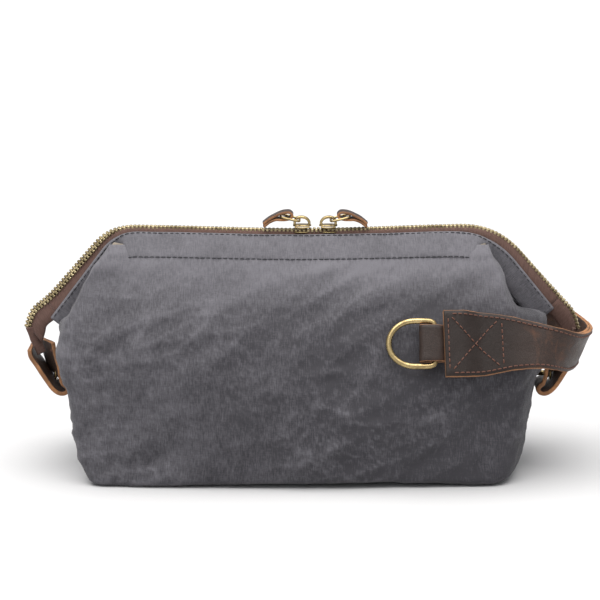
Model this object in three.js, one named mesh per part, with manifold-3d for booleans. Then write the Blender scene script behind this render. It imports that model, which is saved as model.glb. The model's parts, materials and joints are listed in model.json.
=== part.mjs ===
// A canvas shaving kit bag: a soft box whose mouth is held by two hidden wire bows, closed by a two-slider
// zip whose tails fold down into leather end tabs, with a leather handle round its right end and a D-ring.
// Millimetres, +Z up, +X to the handle, -Y to the front. The origin is on the ground, at the base's middle.
import * as THREE from "three";
import { mergeVertices } from "three/addons/utils/BufferGeometryUtils.js";
import Module from "manifold-3d";

const wasm = await Module();
wasm.setup();

// ---------------------------------------------------------------- driving dimensions
// The canvas box, from the ground to the fold line that its mouth turns about.
const BASE_HALF_X = 127;
const BASE_HALF_Y = 62;
const FOLD_HALF_X = 152;
const FOLD_HALF_Y = 46;
const FOLD_Z = 100;
const CORNER = 4; // how far the vertical corner seams stand in from the widest line
const GUSSET_CROWN = 19; // how far a side stands out past the front's edge at the fold line
const FRONT_BELLY = 7; // how far the front and back bulge
const SIDE_BELLY = 2;

// The mouth: a hemmed channel along the top edge, down both slopes to the fold line.
const MOUTH_RISE = 45.5; // from the fold line to the top edge
const SLOPE_RUN = 38; // how far each slope of the mouth reaches sideways
const LEG_END_RISE = 2; // how far above the fold line the slopes end
const MOUTH_CORNER_R = 34;
const HEM_DEPTH = 16;
const HEM_THICK = 6.4;
const HEM_CLEAR_Y = 4.2; // from the middle plane to the hem's inner face
const HEM_END_CUT = 9; // how much shorter the channel is than its edge line, at each end
const WIRE_R = 1.6;
const WIRE_CLEAR = 0.35;

// Cloth, board and leather.
const CANVAS = 1.6;
const LINING = 0.8;
const BOARD = 2;
const LEATHER = 1.8;
const TOUCH = 0.35; // the gap kept between faces that touch
const LINING_CLEAR = 1; // the lining hangs this far inside the canvas
const SWING_CLEAR = 1.2; // room for the mouth's cloth to turn inside the box's rim

// The zip.
const CHAIN_RISE = 2.6; // from the mouth's top edge to the chain's middle
const CHAIN_CORNER_OUT = 5; // how much further out than the mouth's corner the chain turns down
const CHAIN_HALF_W = 2.8;
const CHAIN_HALF_H = 1.2;
const BEAD_W = 1.4;
const TOOTH_PITCH = 4;
const TOOTH_W = 1.3;
const TOOTH_REACH = 0.5; // how far a tooth reaches past the middle plane
const PARTED = 1.5; // how far each row of teeth moves aside in the sliders
const TAPE = 0.7;
const TAPE_DEPTH = 6.3;
// The tails, as steps out from the ends of the slopes and up or down from them.
const TAIL_START_STEP = { out: 6, up: 6 };
const TAIL_MIDDLE_STEP = { out: 15.5, up: -4 };
const TAIL_END_STEP = { out: 19, up: -15 };

// The sliders and their pulls. Heights are above the chain's middle.
const SLIDERS_MEET_X = 7.5;
const SLIDER_FROM_MEET = 8;
const SLIDER_LENGTH = 11;
const SLIDER_PLATE = 1;
const SLIDER_WALL = 0.8;
const SLIDER_CLEAR = 0.5;
const CROWN_RISE = 4.5; // how far a slider's crown stands over its plate
const CROWN_HALF_X = 4.4;
const CROWN_THICK = 1.2;
const CROWN_WIDTH = 2;
const PULL_FROM_SLIDER = 1.5; // how far outside the slider's middle its pull ring hangs
const PULL_WIRE_R = 0.65;
const PULL_LENGTH = 12;
const PULL_LEAN = 15; // degrees that a pull ring rises outwards
const TAG_WIDTH = 9.4;
const TAG_THICK = 1.5;
const TAG_EYE = 5.5; // how far the folded end reaches back from the ring's outer bar
const TAG_TAIL = 11; // how far the doubled end reaches out from it
const TAG_DROP = 20; // degrees that a tag slopes down and out

// The handle, its wide sewn ends and the D-ring in its leather loop.
const HANDLE_BELOW_FOLD = 12;
const HANDLE_SAG = 12;
const HANDLE_TIP = 0.38; // how far the handle's upper edge leans out at the bow, as a slope
const HANDLE_START_IN = 49; // from the front's edge in to where the handle's sewn end starts
const HANDLE_STAND_OUT = 21.5; // how far the handle's bow stands out past the side
const HANDLE_WIDTH = 25;
const HANDLE_END_WIDTH = 40;
const HANDLE_SEWN = 40; // the length of each end that lies flat on the canvas
const HANDLE_FLARE = 70; // the length over which the wide end narrows
const CANVAS_CROWN = 1.6; // the front is crowned, so a flat strap end stands this far off it
const RING_WIRE_R = 1.65;
const RING_INNER = 24.4; // clear width between the ring's arms
const RING_LOOP_CLEAR = 1.2; // between the ring's arms and the leather loop's edges
const RING_ARM = 13;
const RING_TO_HANDLE = 5.5; // from the ring's bar to the handle's sewn end
const LOOP_LEATHER = 1.5;
const LOOP_REACH = 9; // how far the leather loop reaches past the ring's bar
const LOOP_TUCK = 12; // how far it runs under the handle's end

// The leather end tabs and their rivets.
const TAB_WIDTH = 24;
const TAB_THICK = 3.2;
const TAB_TOP_BELOW_FOLD = 23; // where the tab's sewn leg ends on the side
const TAB_BEND = 4; // how far the tab's lowest point stands out from its sewn leg
const TAB_DROP = 32; // how far the tab hangs below that end
const TAB_CLEAR = 0.8; // between the tab's sewn leg and the canvas
const TAB_TO_TAIL = 1.2;
const RIVET_BELOW_TAB_TOP = 11;
const RIVET_CAP_R = 5;
const RIVET_SHANK_R = 1.6;
const RIVET_CAP_H = 1.4;

// ---------------------------------------------------------------- places worked out from the sizes
const RIDGE_AT_FOLD_X = FOLD_HALF_X - GUSSET_CROWN;
const MOUTH_TOP_Z = FOLD_Z + MOUTH_RISE;
const LEG_END_X = FOLD_HALF_X;
const LEG_END_Z = FOLD_Z + LEG_END_RISE;
const MOUTH_HALF_X = LEG_END_X - SLOPE_RUN; // where the top edge turns down
const CHAIN_Z = MOUTH_TOP_Z + CHAIN_RISE;
const CHAIN_HALF_X = MOUTH_HALF_X + CHAIN_CORNER_OUT;
const fromLegEnd = ({ out, up }) => ({ x: LEG_END_X + out, z: LEG_END_Z + up });
const TAIL_START = fromLegEnd(TAIL_START_STEP);
const TAIL_MIDDLE = fromLegEnd(TAIL_MIDDLE_STEP);
const TAIL_END = fromLegEnd(TAIL_END_STEP);
const HANDLE_Z = FOLD_Z - HANDLE_BELOW_FOLD;
const HANDLE_START_X = RIDGE_AT_FOLD_X - HANDLE_START_IN;
const HANDLE_OUT_X = FOLD_HALF_X + HANDLE_STAND_OUT;
const TAB_TOP_Z = FOLD_Z - TAB_TOP_BELOW_FOLD;
const TAB_LOW_Z = TAB_TOP_Z - TAB_DROP;
const RIVET_Z = TAB_TOP_Z - RIVET_BELOW_TAB_TOP;

// ---------------------------------------------------------------- small helpers
const V = (x, y, z) => new THREE.Vector3(x, y, z);
const mix = (a, b, t) => a + (b - a) * t;
const ease = (t) => THREE.MathUtils.smoothstep(t, 0, 1);
const rad = THREE.MathUtils.degToRad;
const Y_AXIS = V(0, 1, 0);
const SIDES = [["left", -1], ["right", 1]];
const FACES = [["front", -1], ["back", 1]];

// A closed BufferGeometry of points and triangles, turned so that its faces point out.
function closedBody(points, triangles) {
  let volume = 0;
  for (const [a, b, c] of triangles) {
    volume += points[a].dot(V(0, 0, 0).crossVectors(points[b], points[c]));
  }
  const turned = volume < 0 ? triangles.map(([a, b, c]) => [a, c, b]) : triangles;
  const geometry = new THREE.BufferGeometry().setFromPoints(points);
  geometry.setIndex(turned.flat());
  return geometry;
}

// A sheet with thickness: outer(u, v) and inner(u, v) give its two faces, for u and v from 0 to 1.
function sheet(outer, inner, nu, nv) {
  const points = [];
  const row = nv + 1;
  const layer = (nu + 1) * row;
  for (const face of [outer, inner]) {
    for (let i = 0; i <= nu; i++) {
      for (let j = 0; j <= nv; j++) points.push(face(i / nu, j / nv));
    }
  }
  const triangles = [];
  const quad = (a, b, c, d) => triangles.push([a, b, c], [a, c, d]);
  const at = (i, j) => i * row + j;
  for (let i = 0; i < nu; i++) {
    for (let j = 0; j < nv; j++) {
      const [a, b, c, d] = [at(i, j), at(i + 1, j), at(i + 1, j + 1), at(i, j + 1)];
      quad(a, b, c, d);
      triangles.push([layer + a, layer + c, layer + b], [layer + a, layer + d, layer + c]);
    }
    quad(at(i, 0), layer + at(i, 0), layer + at(i + 1, 0), at(i + 1, 0));
    quad(at(i + 1, nv), layer + at(i + 1, nv), layer + at(i, nv), at(i, nv));
  }
  for (let j = 0; j < nv; j++) {
    quad(at(0, j + 1), layer + at(0, j + 1), layer + at(0, j), at(0, j));
    quad(at(nu, j), layer + at(nu, j), layer + at(nu, j + 1), at(nu, j + 1));
  }
  return closedBody(points, triangles);
}

// Joins rings of equal count into one body; its ends are capped unless the last ring meets the first.
function loft(rings, endless = false) {
  const n = rings[0].length;
  const points = rings.flat();
  const triangles = [];
  const spans = endless ? rings.length : rings.length - 1;
  for (let i = 0; i < spans; i++) {
    const next = (i + 1) % rings.length;
    for (let j = 0; j < n; j++) {
      const k = (j + 1) % n;
      triangles.push([i * n + j, next * n + j, next * n + k], [i * n + j, next * n + k, i * n + k]);
    }
  }
  if (!endless) {
    for (const [ring, first] of [[0, true], [rings.length - 1, false]]) {
      const middle = points.length;
      points.push(rings[ring].reduce((sum, p) => sum.add(p), V(0, 0, 0)).divideScalar(n));
      for (let j = 0; j < n; j++) {
        const [a, b] = [ring * n + j, ring * n + ((j + 1) % n)];
        triangles.push(first ? [middle, a, b] : [middle, b, a]);
      }
    }
  }
  return closedBody(points, triangles);
}

// Sweeps a section of [normal, across] pairs along points; across is a fixed direction square to the path.
function sweep(path, sectionAt, across, endless = false) {
  const last = path.length - 1;
  const rings = path.map((p, i) => {
    const before = path[i === 0 ? (endless ? last : 0) : i - 1];
    const after = path[i === last ? (endless ? 0 : last) : i + 1];
    const along = after.clone().sub(before).normalize();
    const normal = V(0, 0, 0).crossVectors(across, along).normalize();
    return sectionAt(p).map(([n, b]) => p.clone().addScaledVector(normal, n).addScaledVector(across, b));
  });
  return loft(rings, endless);
}

const roundSection = (r, sides) => {
  const turn = (2 * Math.PI) / sides;
  return Array.from({ length: sides }, (_, i) => [r * Math.cos(i * turn), r * Math.sin(i * turn)]);
};
const boxSection = (n0, n1, b0, b1) => [[n0, b0], [n1, b0], [n1, b1], [n0, b1]];

// three.js geometry to a manifold solid and back, for cuts and joins.
function solid(geometry) {
  const bare = geometry.clone();
  bare.deleteAttribute("normal");
  bare.deleteAttribute("uv");
  const merged = mergeVertices(bare, 1e-3);
  const mesh = { numProp: 3, vertProperties: merged.attributes.position.array };
  return new wasm.Manifold(new wasm.Mesh({ ...mesh, triVerts: new Uint32Array(merged.index.array) }));
}
function geometryOf(manifold) {
  const { vertProperties, triVerts } = manifold.getMesh();
  const geometry = new THREE.BufferGeometry();
  geometry.setAttribute("position", new THREE.BufferAttribute(vertProperties, 3));
  return geometry.setIndex(new THREE.BufferAttribute(triVerts, 1));
}
const cut = (from, ...tools) => geometryOf(tools.reduce((left, t) => left.subtract(solid(t)), solid(from)));
const join = (first, ...more) => geometryOf(more.reduce((sum, m) => sum.add(solid(m)), solid(first)));

// ---------------------------------------------------------------- the part and its finishes
const bag = new THREE.Group();
function finish(color, roughness, metalness = 0) {
  return new THREE.MeshStandardMaterial({ color, roughness, metalness });
}
const canvasCloth = finish(0x5f5e66, 0.85);
const liningCloth = finish(0x8a8478, 0.8);
const boardFinish = finish(0x2c2a28, 0.7);
const leather = finish(0x4a3026, 0.55);
const zipTape = finish(0x5b4238, 0.85);
const brass = finish(0x9b7d3e, 0.35, 0.9);
const steel = finish(0x8d9093, 0.4, 0.9);

function add(name, geometry, material) {
  const mesh = new THREE.Mesh(geometry, material);
  mesh.name = name;
  bag.add(mesh);
}

// ---------------------------------------------------------------- the box's outer faces
const rise = (z) => z / FOLD_Z;
const frontY = (z) => mix(BASE_HALF_Y, FOLD_HALF_Y, rise(z) ** 2) + FRONT_BELLY * Math.sin(Math.PI * rise(z));
const sideX = (z) => mix(BASE_HALF_X, FOLD_HALF_X, rise(z)) + SIDE_BELLY * Math.sin(Math.PI * rise(z));
const ridgeX = (z) => mix(BASE_HALF_X - CORNER, RIDGE_AT_FOLD_X, rise(z));
const ridgeY = (z) => frontY(z) - CORNER;

// A point on the front (face -1) or back (face 1), u from -1 to 1 across it, moved in by inset.
function facePoint(face, u, z, inset) {
  const y = frontY(z) - inset - CORNER * Math.abs(u) ** 6;
  return V(u * (ridgeX(z) - inset), face * y, z);
}
// A point on a side, v from -1 at the front corner seam to 1 at the back one.
function sidePoint(side, v, z, inset, seamInset = inset) {
  const x = ridgeX(z) - inset + (sideX(z) - ridgeX(z)) * Math.cos((Math.PI / 2) * v);
  return V(side * x, v * (ridgeY(z) - seamInset), z);
}
// The whole outline at one height, moved in by inset.
function outline(z, inset) {
  const steps = 8;
  const span = (k) => mix(-1, 1, k / steps);
  const count = Array.from({ length: steps }, (_, k) => k);
  return [
    ...count.map((k) => facePoint(-1, span(k), z, inset)),
    ...count.map((k) => sidePoint(1, span(k), z, inset)),
    ...count.map((k) => facePoint(1, -span(k), z, inset)),
    ...count.map((k) => sidePoint(-1, -span(k), z, inset)),
  ];
}

// ---------------------------------------------------------------- rivets, one on each side
const rivetSlope = Math.atan((sideX(RIVET_Z + 1) - sideX(RIVET_Z - 1)) / 2);
const liningInset = CANVAS + LINING_CLEAR;
// Heights along the rivet's axis, from the side's outer face outwards.
const rivetInner = -(CANVAS + LINING_CLEAR + LINING + 2 * TOUCH);
const rivetOuter = TAB_CLEAR + TAB_THICK + TOUCH;

function atRivet(geometry, side) {
  geometry.rotateZ(-Math.PI / 2); // the lathe's axis to +X
  geometry.rotateY(rivetSlope);
  geometry.translate(sideX(RIVET_Z), 0, RIVET_Z);
  return side < 0 ? geometry.rotateZ(Math.PI) : geometry;
}
function rivet(side) {
  const profile = [
    [0, rivetInner - RIVET_CAP_H], [RIVET_CAP_R - 0.6, rivetInner - RIVET_CAP_H],
    [RIVET_CAP_R, rivetInner], [RIVET_SHANK_R, rivetInner], [RIVET_SHANK_R, rivetOuter],
    [RIVET_CAP_R, rivetOuter], [RIVET_CAP_R - 0.8, rivetOuter + RIVET_CAP_H], [0, rivetOuter + RIVET_CAP_H],
  ];
  return atRivet(new THREE.LatheGeometry(profile.map(([r, h]) => new THREE.Vector2(r, h)), 16), side);
}
function rivetHole(side) {
  const reach = CANVAS + LINING + TAB_THICK + 8;
  const radius = RIVET_SHANK_R + TOUCH;
  return atRivet(new THREE.CylinderGeometry(radius, radius, 2 * reach, 16), side);
}

// ---------------------------------------------------------------- base, walls and lining
const WALL_FOOT_Z = CANVAS + TOUCH;
const BOARD_FOOT_Z = CANVAS + TOUCH;
const LINING_FOOT_Z = BOARD_FOOT_Z + BOARD + TOUCH;
const WALL_TOP_Z = FOLD_Z - 2;
const LINING_TOP_Z = FOLD_Z - 7;

function baseAndWalls() {
  add("bottom_panel", loft([outline(0, 0), outline(CANVAS, 0)]), canvasCloth);
  const boardInset = CANVAS + LINING_CLEAR;
  const board = [outline(BOARD_FOOT_Z, boardInset), outline(BOARD_FOOT_Z + BOARD, boardInset)];
  add("base_board", loft(board), boardFinish);
  const height = (v) => mix(WALL_FOOT_Z, WALL_TOP_Z, v);
  for (const [name, face] of FACES) {
    const wall = (inset) => (u, v) => {
      const p = facePoint(face, mix(-1, 1, u), height(v), 0);
      p.y -= face * inset;
      return p;
    };
    add(`${name}_panel`, sheet(wall(0), wall(CANVAS), 12, 7), canvasCloth);
  }
  for (const [name, side] of SIDES) {
    const seam = CANVAS + TOUCH;
    const wall = (inset) => (u, v) => {
      const p = sidePoint(side, mix(-1, 1, u), height(v), 0, seam);
      p.x -= side * inset;
      return p;
    };
    add(`${name}_gusset`, cut(sheet(wall(0), wall(CANVAS), 8, 7), rivetHole(side)), canvasCloth);
    add(`${name}_tab_rivet`, rivet(side), brass);
  }
}

function lining() {
  const levels = 6;
  const rings = [];
  for (let i = 0; i <= levels; i++) {
    rings.push(outline(mix(LINING_FOOT_Z, LINING_TOP_Z, i / levels), liningInset));
  }
  for (let i = levels; i >= 0; i--) {
    rings.push(outline(mix(LINING_FOOT_Z + LINING, LINING_TOP_Z, i / levels), liningInset + LINING));
  }
  add("lining", cut(loft(rings), rivetHole(-1), rivetHole(1)), liningCloth);
}

// ---------------------------------------------------------------- the mouth
// The mouth's edge, moved in by inset: a top bar, two round corners and two slopes, in the XZ plane.
function mouthLine(inset, endCut) {
  const slope = V(LEG_END_X - MOUTH_HALF_X, 0, LEG_END_Z - MOUTH_TOP_Z).normalize();
  const turn = Math.acos(slope.x);
  const inward = V(slope.z, 0, -slope.x);
  const corner = V(MOUTH_HALF_X - inset * Math.tan(turn / 2), 0, MOUTH_TOP_Z - inset);
  const end = V(LEG_END_X, 0, LEG_END_Z).addScaledVector(inward, inset).addScaledVector(slope, -endCut);
  const round = (MOUTH_CORNER_R - inset) * Math.tan(turn / 2);
  const before = corner.clone().add(V(-round, 0, 0));
  const after = corner.clone().addScaledVector(slope, round);
  const bend = new THREE.QuadraticBezierCurve3(before, corner, after).getPoints(6);
  const half = [...bend, end];
  const mirrored = half.map((p) => V(-p.x, p.y, p.z)).reverse();
  return [...mirrored, ...half];
}

const HEM_OUT_Y = HEM_CLEAR_Y + HEM_THICK;
const HEM_LOW_Z = MOUTH_TOP_Z - HEM_DEPTH;
const HEM_LAP = 3; // how far the mouth's cloth runs up over the hem
const CLOTH_FOOT_Z = FOLD_Z + 1.5;
const CLOTH_FOOT_Y = FOLD_HALF_Y - CANVAS - SWING_CLEAR;
const CLOTH_FOOT_X = RIDGE_AT_FOLD_X - CANVAS - SWING_CLEAR;
const CLOTH_TOP_Y = HEM_OUT_Y + TOUCH + CANVAS;
const CLOTH_TOP_X = MOUTH_HALF_X + 2;
const climb = (z) => (z - CLOTH_FOOT_Z) / (HEM_LOW_Z + HEM_LAP - CLOTH_FOOT_Z);
const mouthY = (z) => mix(CLOTH_FOOT_Y, CLOTH_TOP_Y, climb(z) ** 0.9);
const mouthRidgeX = (z) => mix(CLOTH_FOOT_X, CLOTH_TOP_X, climb(z));

function mouthCloth(name, face) {
  const height = (v) => mix(CLOTH_FOOT_Z, HEM_LOW_Z + HEM_LAP, v);
  const front = (inset) => (u, v) => {
    const z = height(v);
    return V(mix(-1, 1, u) * mouthRidgeX(z), face * (mouthY(z) - inset), z);
  };
  add(`${name}_mouth_panel`, sheet(front(0), front(CANVAS), 10, 5), canvasCloth);
}

// The half of a side that folds in behind the front or back corner, from the ridge to the hem's slope.
function gussetFold(name, face, sideName, side) {
  const hem = mouthLine(HEM_DEPTH - HEM_LAP, HEM_END_CUT);
  const [foot, bend] = [hem[hem.length - 1], hem[hem.length - 2]];
  const top = V(mix(foot.x, bend.x, 0.8), 0, mix(foot.z, bend.z, 0.8));
  const foldZ = (v) => mix(CLOTH_FOOT_Z, top.z, v);
  const behind = CANVAS + TOUCH;
  const surface = (inset) => (u, v) => {
    const z = foldZ(v);
    const start = V(mouthRidgeX(z), 0, mouthY(z) - behind);
    const end = V(mix(foot.x, top.x, v), 0, HEM_OUT_Y + TOUCH + CANVAS);
    const x = mix(start.x, end.x, u) - 2.5 * Math.sin(Math.PI * u) - inset;
    return V(side * x, face * Math.max(mix(start.z, end.z, u), end.z), z);
  };
  add(`${sideName}_${name}_gusset_fold`, sheet(surface(0), surface(CANVAS), 6, 5), canvasCloth);
}

function hemAndWire(name, face) {
  const half = HEM_DEPTH / 2;
  const middle = mouthLine(half, HEM_END_CUT);
  middle.forEach((p) => (p.y = face * (HEM_CLEAR_Y + HEM_THICK / 2)));
  const edge = HEM_THICK / 2;
  const section = [[half, edge - 1.5], [half, 1.5 - edge], [half - 2, -edge], [2 - half, -edge],
    [-half, 1.5 - edge], [-half, edge - 1.5], [2 - half, edge], [half - 2, edge]];
  const channel = sweep(middle, () => section, Y_AXIS);
  const longer = (p, q) => p.clone().add(p.clone().sub(q).setLength(2));
  const n = middle.length;
  const ends = [longer(middle[0], middle[1]), longer(middle[n - 1], middle[n - 2])];
  const through = [ends[0], ...middle.slice(1, n - 1), ends[1]];
  const bore = sweep(through, () => roundSection(WIRE_R + WIRE_CLEAR, 8), Y_AXIS);
  add(`${name}_hem`, cut(channel, bore), canvasCloth);
  add(`${name}_wire_bow`, sweep(middle, () => roundSection(WIRE_R, 8), Y_AXIS), steel);
}

// ---------------------------------------------------------------- the zip
const chainSlope = V(TAIL_START.x - CHAIN_HALF_X, 0, TAIL_START.z - CHAIN_Z).normalize();
const chainTurn = Math.acos(chainSlope.x);
const chainRound = MOUTH_CORNER_R * Math.tan(chainTurn / 2);
const sliderX = { left: SLIDERS_MEET_X - SLIDER_FROM_MEET, right: SLIDERS_MEET_X + SLIDER_FROM_MEET };

// How far the rows of teeth have moved aside at x, on the straight run.
function partedAt(x) {
  const away = Math.abs(x - SLIDERS_MEET_X) - SLIDER_FROM_MEET;
  return PARTED * (1 - ease(away / (SLIDER_LENGTH / 2 + 2)));
}

function chainHalfLine(side) {
  const corner = V(side * CHAIN_HALF_X, 0, CHAIN_Z);
  const before = V(side * (CHAIN_HALF_X - chainRound), 0, CHAIN_Z);
  const slope = V(side * chainSlope.x, 0, chainSlope.z);
  const after = corner.clone().addScaledVector(slope, chainRound);
  const bend = new THREE.QuadraticBezierCurve3(before, corner, after).getPoints(7);
  return [...bend, V(side * TAIL_START.x, 0, TAIL_START.z)];
}

function chainLine() {
  const straight = [];
  const reach = SLIDER_FROM_MEET + SLIDER_LENGTH;
  for (let k = -8; k <= 8; k++) straight.push(V(SLIDERS_MEET_X + (k / 8) * reach, 0, CHAIN_Z));
  return [...chainHalfLine(-1).reverse(), ...straight, ...chainHalfLine(1)];
}

function tailLine(side) {
  const tangent = V(side * chainSlope.x, 0, chainSlope.z);
  const start = V(side * TAIL_START.x, 0, TAIL_START.z).addScaledVector(tangent, TOUCH);
  const points = [start, V(side * TAIL_MIDDLE.x, 0, TAIL_MIDDLE.z), V(side * TAIL_END.x, 0, TAIL_END.z)];
  return new THREE.CatmullRomCurve3(points).getPoints(8);
}

// Points at an even pitch along a line, each with its direction.
function stations(line, pitch, offset) {
  const found = [];
  let walked = -offset;
  for (let i = 0; i + 1 < line.length; i++) {
    const span = line[i + 1].clone().sub(line[i]);
    const length = span.length();
    for (let at = Math.ceil(walked / pitch) * pitch; at < walked + length; at += pitch) {
      if (at >= 0) {
        const p = line[i].clone().addScaledVector(span, (at - walked) / length);
        found.push({ p, along: span.clone().normalize() });
      }
    }
    walked += length;
  }
  return found;
}

// One row of teeth on its bead. face -1 is the front row. parted gives the sideways shift at a point.
function teethRow(line, face, parted) {
  const inner = CHAIN_HALF_W - BEAD_W;
  const rail = (p) => {
    const aside = parted(p);
    const near = inner + aside;
    return boxSection(-CHAIN_HALF_H, CHAIN_HALF_H, face * near, face * (near + BEAD_W));
  };
  const bead = sweep(line, rail, Y_AXIS);
  const reach = inner + BEAD_W / 2 + TOOTH_REACH;
  const offset = TOOTH_PITCH / 2 + (face > 0 ? TOOTH_PITCH / 2 : 0);
  const teeth = stations(line, TOOTH_PITCH, offset).map(({ p, along }) => {
    const tooth = new THREE.BoxGeometry(TOOTH_W, reach, 2 * CHAIN_HALF_H - 0.2);
    tooth.translate(0, face * (reach / 2 - TOOTH_REACH + parted(p)), 0);
    tooth.rotateY(-Math.atan2(along.z, along.x));
    return solid(tooth.translate(p.x, 0, p.z));
  });
  return geometryOf(teeth.reduce((sum, tooth) => sum.add(tooth), solid(bead)));
}

// One side's tape: a narrow band that hangs from the bead, beside the middle plane.
function tape(line, face) {
  const near = HEM_CLEAR_Y - TOUCH - TAPE;
  const top = -(CHAIN_HALF_H + TOUCH);
  const upIsPositive = V(0, 0, 0).crossVectors(Y_AXIS, line[1].clone().sub(line[0])).z > 0;
  const sign = upIsPositive ? 1 : -1;
  const band = boxSection(sign * (top - TAPE_DEPTH), sign * top, face * near, face * (near + TAPE));
  return sweep(line, () => band, Y_AXIS);
}

const together = () => 0;
function zip(name, face) {
  add(`${name}_zip_teeth`, teethRow(chainLine(), face, (p) => partedAt(p.x)), brass);
  add(`${name}_zip_tape`, tape(chainLine(), face), zipTape);
  for (const [sideName, side] of SIDES) {
    const line = side < 0 ? tailLine(side).reverse() : tailLine(side);
    add(`${sideName}_tail_teeth_${name}`, teethRow(line, face, together), brass);
    add(`${sideName}_tail_tape_${name}`, tape(line, face), zipTape);
  }
}

// ---------------------------------------------------------------- sliders, pull loops, links and tags
const PLATE_FACE = CHAIN_HALF_H + SLIDER_CLEAR;
const SLIDER_TOP = PLATE_FACE + SLIDER_PLATE;
const SLIDER_HALF_W = CHAIN_HALF_W + PARTED + TOUCH + SLIDER_WALL;
const PULL_Z = SLIDER_TOP + PULL_WIRE_R + TOUCH;
const PULL_HALF_W = TAG_WIDTH / 2 + 2 * TOUCH + PULL_WIRE_R;

// A slider is a plate over the teeth with a lip that hooks under the front row, and a crown on top.
function sliderBody() {
  const block = (lx, ly, lz, x, y, z) => new THREE.BoxGeometry(lx, ly, lz).translate(x, y, z);
  const plate = block(SLIDER_LENGTH, 2 * SLIDER_HALF_W, SLIDER_PLATE, 0, 0, PLATE_FACE + SLIDER_PLATE / 2);
  const hookLow = CHAIN_HALF_H + 2 * SLIDER_CLEAR;
  const lipHeight = SLIDER_TOP + hookLow;
  const lipY = -(SLIDER_HALF_W - SLIDER_WALL / 2);
  const lip = block(SLIDER_LENGTH, SLIDER_WALL, lipHeight, 0, lipY, SLIDER_TOP - lipHeight / 2);
  const hookWidth = SLIDER_HALF_W - HEM_CLEAR_Y;
  const hookY = hookWidth / 2 - SLIDER_HALF_W;
  const hook = block(SLIDER_LENGTH, hookWidth, SLIDER_CLEAR, 0, hookY, SLIDER_CLEAR / 2 - hookLow);
  const crownTop = SLIDER_TOP + CROWN_RISE;
  const crownFoot = SLIDER_TOP - SLIDER_PLATE / 2;
  const arch = (halfX, top) => {
    const shape = new THREE.Shape();
    shape.moveTo(-halfX, crownFoot);
    shape.lineTo(halfX, crownFoot);
    shape.lineTo(halfX, mix(crownFoot, top, 0.4));
    shape.quadraticCurveTo(halfX * 0.8, top, 0, top);
    shape.quadraticCurveTo(-halfX * 0.8, top, -halfX, mix(crownFoot, top, 0.4));
    return shape;
  };
  const slab = (shape, width) => {
    const made = new THREE.ExtrudeGeometry(shape, { depth: width, bevelEnabled: false, curveSegments: 5 });
    return made.rotateX(Math.PI / 2).translate(0, width / 2, 0);
  };
  const outer = slab(arch(CROWN_HALF_X, crownTop), CROWN_WIDTH);
  const inner = slab(arch(CROWN_HALF_X - CROWN_THICK, crownTop - CROWN_THICK), 2 * CROWN_WIDTH);
  return join(plate, lip, hook, cut(outer, inner));
}

// A wire ring with round corners, from the crown to the tag's fold, in the plane of Y and lean.
function pullRing(lean) {
  const path = [];
  const corner = 2;
  const steps = 4;
  const turn = Math.PI / 2 / steps;
  const [far, wide] = [PULL_LENGTH - corner, PULL_HALF_W - corner];
  [[far, -wide], [far, wide], [corner, wide], [corner, -wide]].forEach(([l, y], quarter) => {
    for (let i = 0; i <= steps; i++) {
      const a = ((quarter - 1) * Math.PI) / 2 + i * turn;
      path.push([l + corner * Math.cos(a), y + corner * Math.sin(a)]);
    }
  });
  const flat = path.map(([l, y]) => V(l * lean.x, y, l * lean.z));
  const across = V(0, 0, 0).crossVectors(lean, Y_AXIS).normalize();
  return sweep(flat, () => roundSection(PULL_WIRE_R, 6), across, true);
}

// A leather strip folded over the ring's outer bar: a loose eye inside the ring, a doubled tail outside.
function pullTag(bar, out) {
  const up = V(0, 0, 0).crossVectors(Y_AXIS, out).normalize();
  const at = (l, h) => bar.clone().addScaledVector(out, l).addScaledVector(up, h);
  const eye = PULL_WIRE_R + TOUCH + TAG_THICK / 2;
  const tail = (TAG_THICK + TOUCH) / 2;
  const half = [[TAG_TAIL, tail], [TAG_TAIL * 0.4, tail], [eye, eye], [eye - TAG_EYE, eye],
    [0.5 - TAG_EYE, eye * 0.7]];
  const above = half.map(([l, h]) => at(l, h));
  const below = half.map(([l, h]) => at(l, -h)).reverse();
  const section = boxSection(-TAG_THICK / 2, TAG_THICK / 2, -TAG_WIDTH / 2, TAG_WIDTH / 2);
  return sweep([...above, at(-TAG_EYE, 0), ...below], () => section, Y_AXIS);
}

function sliderAndPull(name, side) {
  const base = V(sliderX[name], 0, CHAIN_Z);
  add(`${name}_slider`, sliderBody().translate(base.x, 0, base.z), brass);
  const hinge = base.clone().add(V(side * PULL_FROM_SLIDER, 0, PULL_Z));
  const lean = V(side * Math.cos(rad(PULL_LEAN)), 0, Math.sin(rad(PULL_LEAN)));
  add(`${name}_pull_ring`, pullRing(lean).translate(hinge.x, 0, hinge.z), brass);
  const bar = hinge.clone().addScaledVector(lean, PULL_LENGTH);
  const out = V(side * Math.cos(rad(TAG_DROP)), 0, -Math.sin(rad(TAG_DROP)));
  add(`${name}_pull_tag`, pullTag(bar, out), leather);
}

// ---------------------------------------------------------------- handle, D-ring and its loop
// The front's surface near the handle: a flat frame at the D-ring's bar.
const leanBack = V(0, -(frontY(HANDLE_Z + 5) - frontY(HANDLE_Z - 5)) / 10, 1).normalize();
const faceOut = V(0, 0, 0).crossVectors(V(1, 0, 0), leanBack).normalize();
const RING_X = HANDLE_START_X - RING_TO_HANDLE;
const LOOP_STACK = 2 * LOOP_LEATHER + 3 * TOUCH;
const BAR_OUT = LOOP_LEATHER + 2 * TOUCH + RING_WIRE_R;

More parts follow.
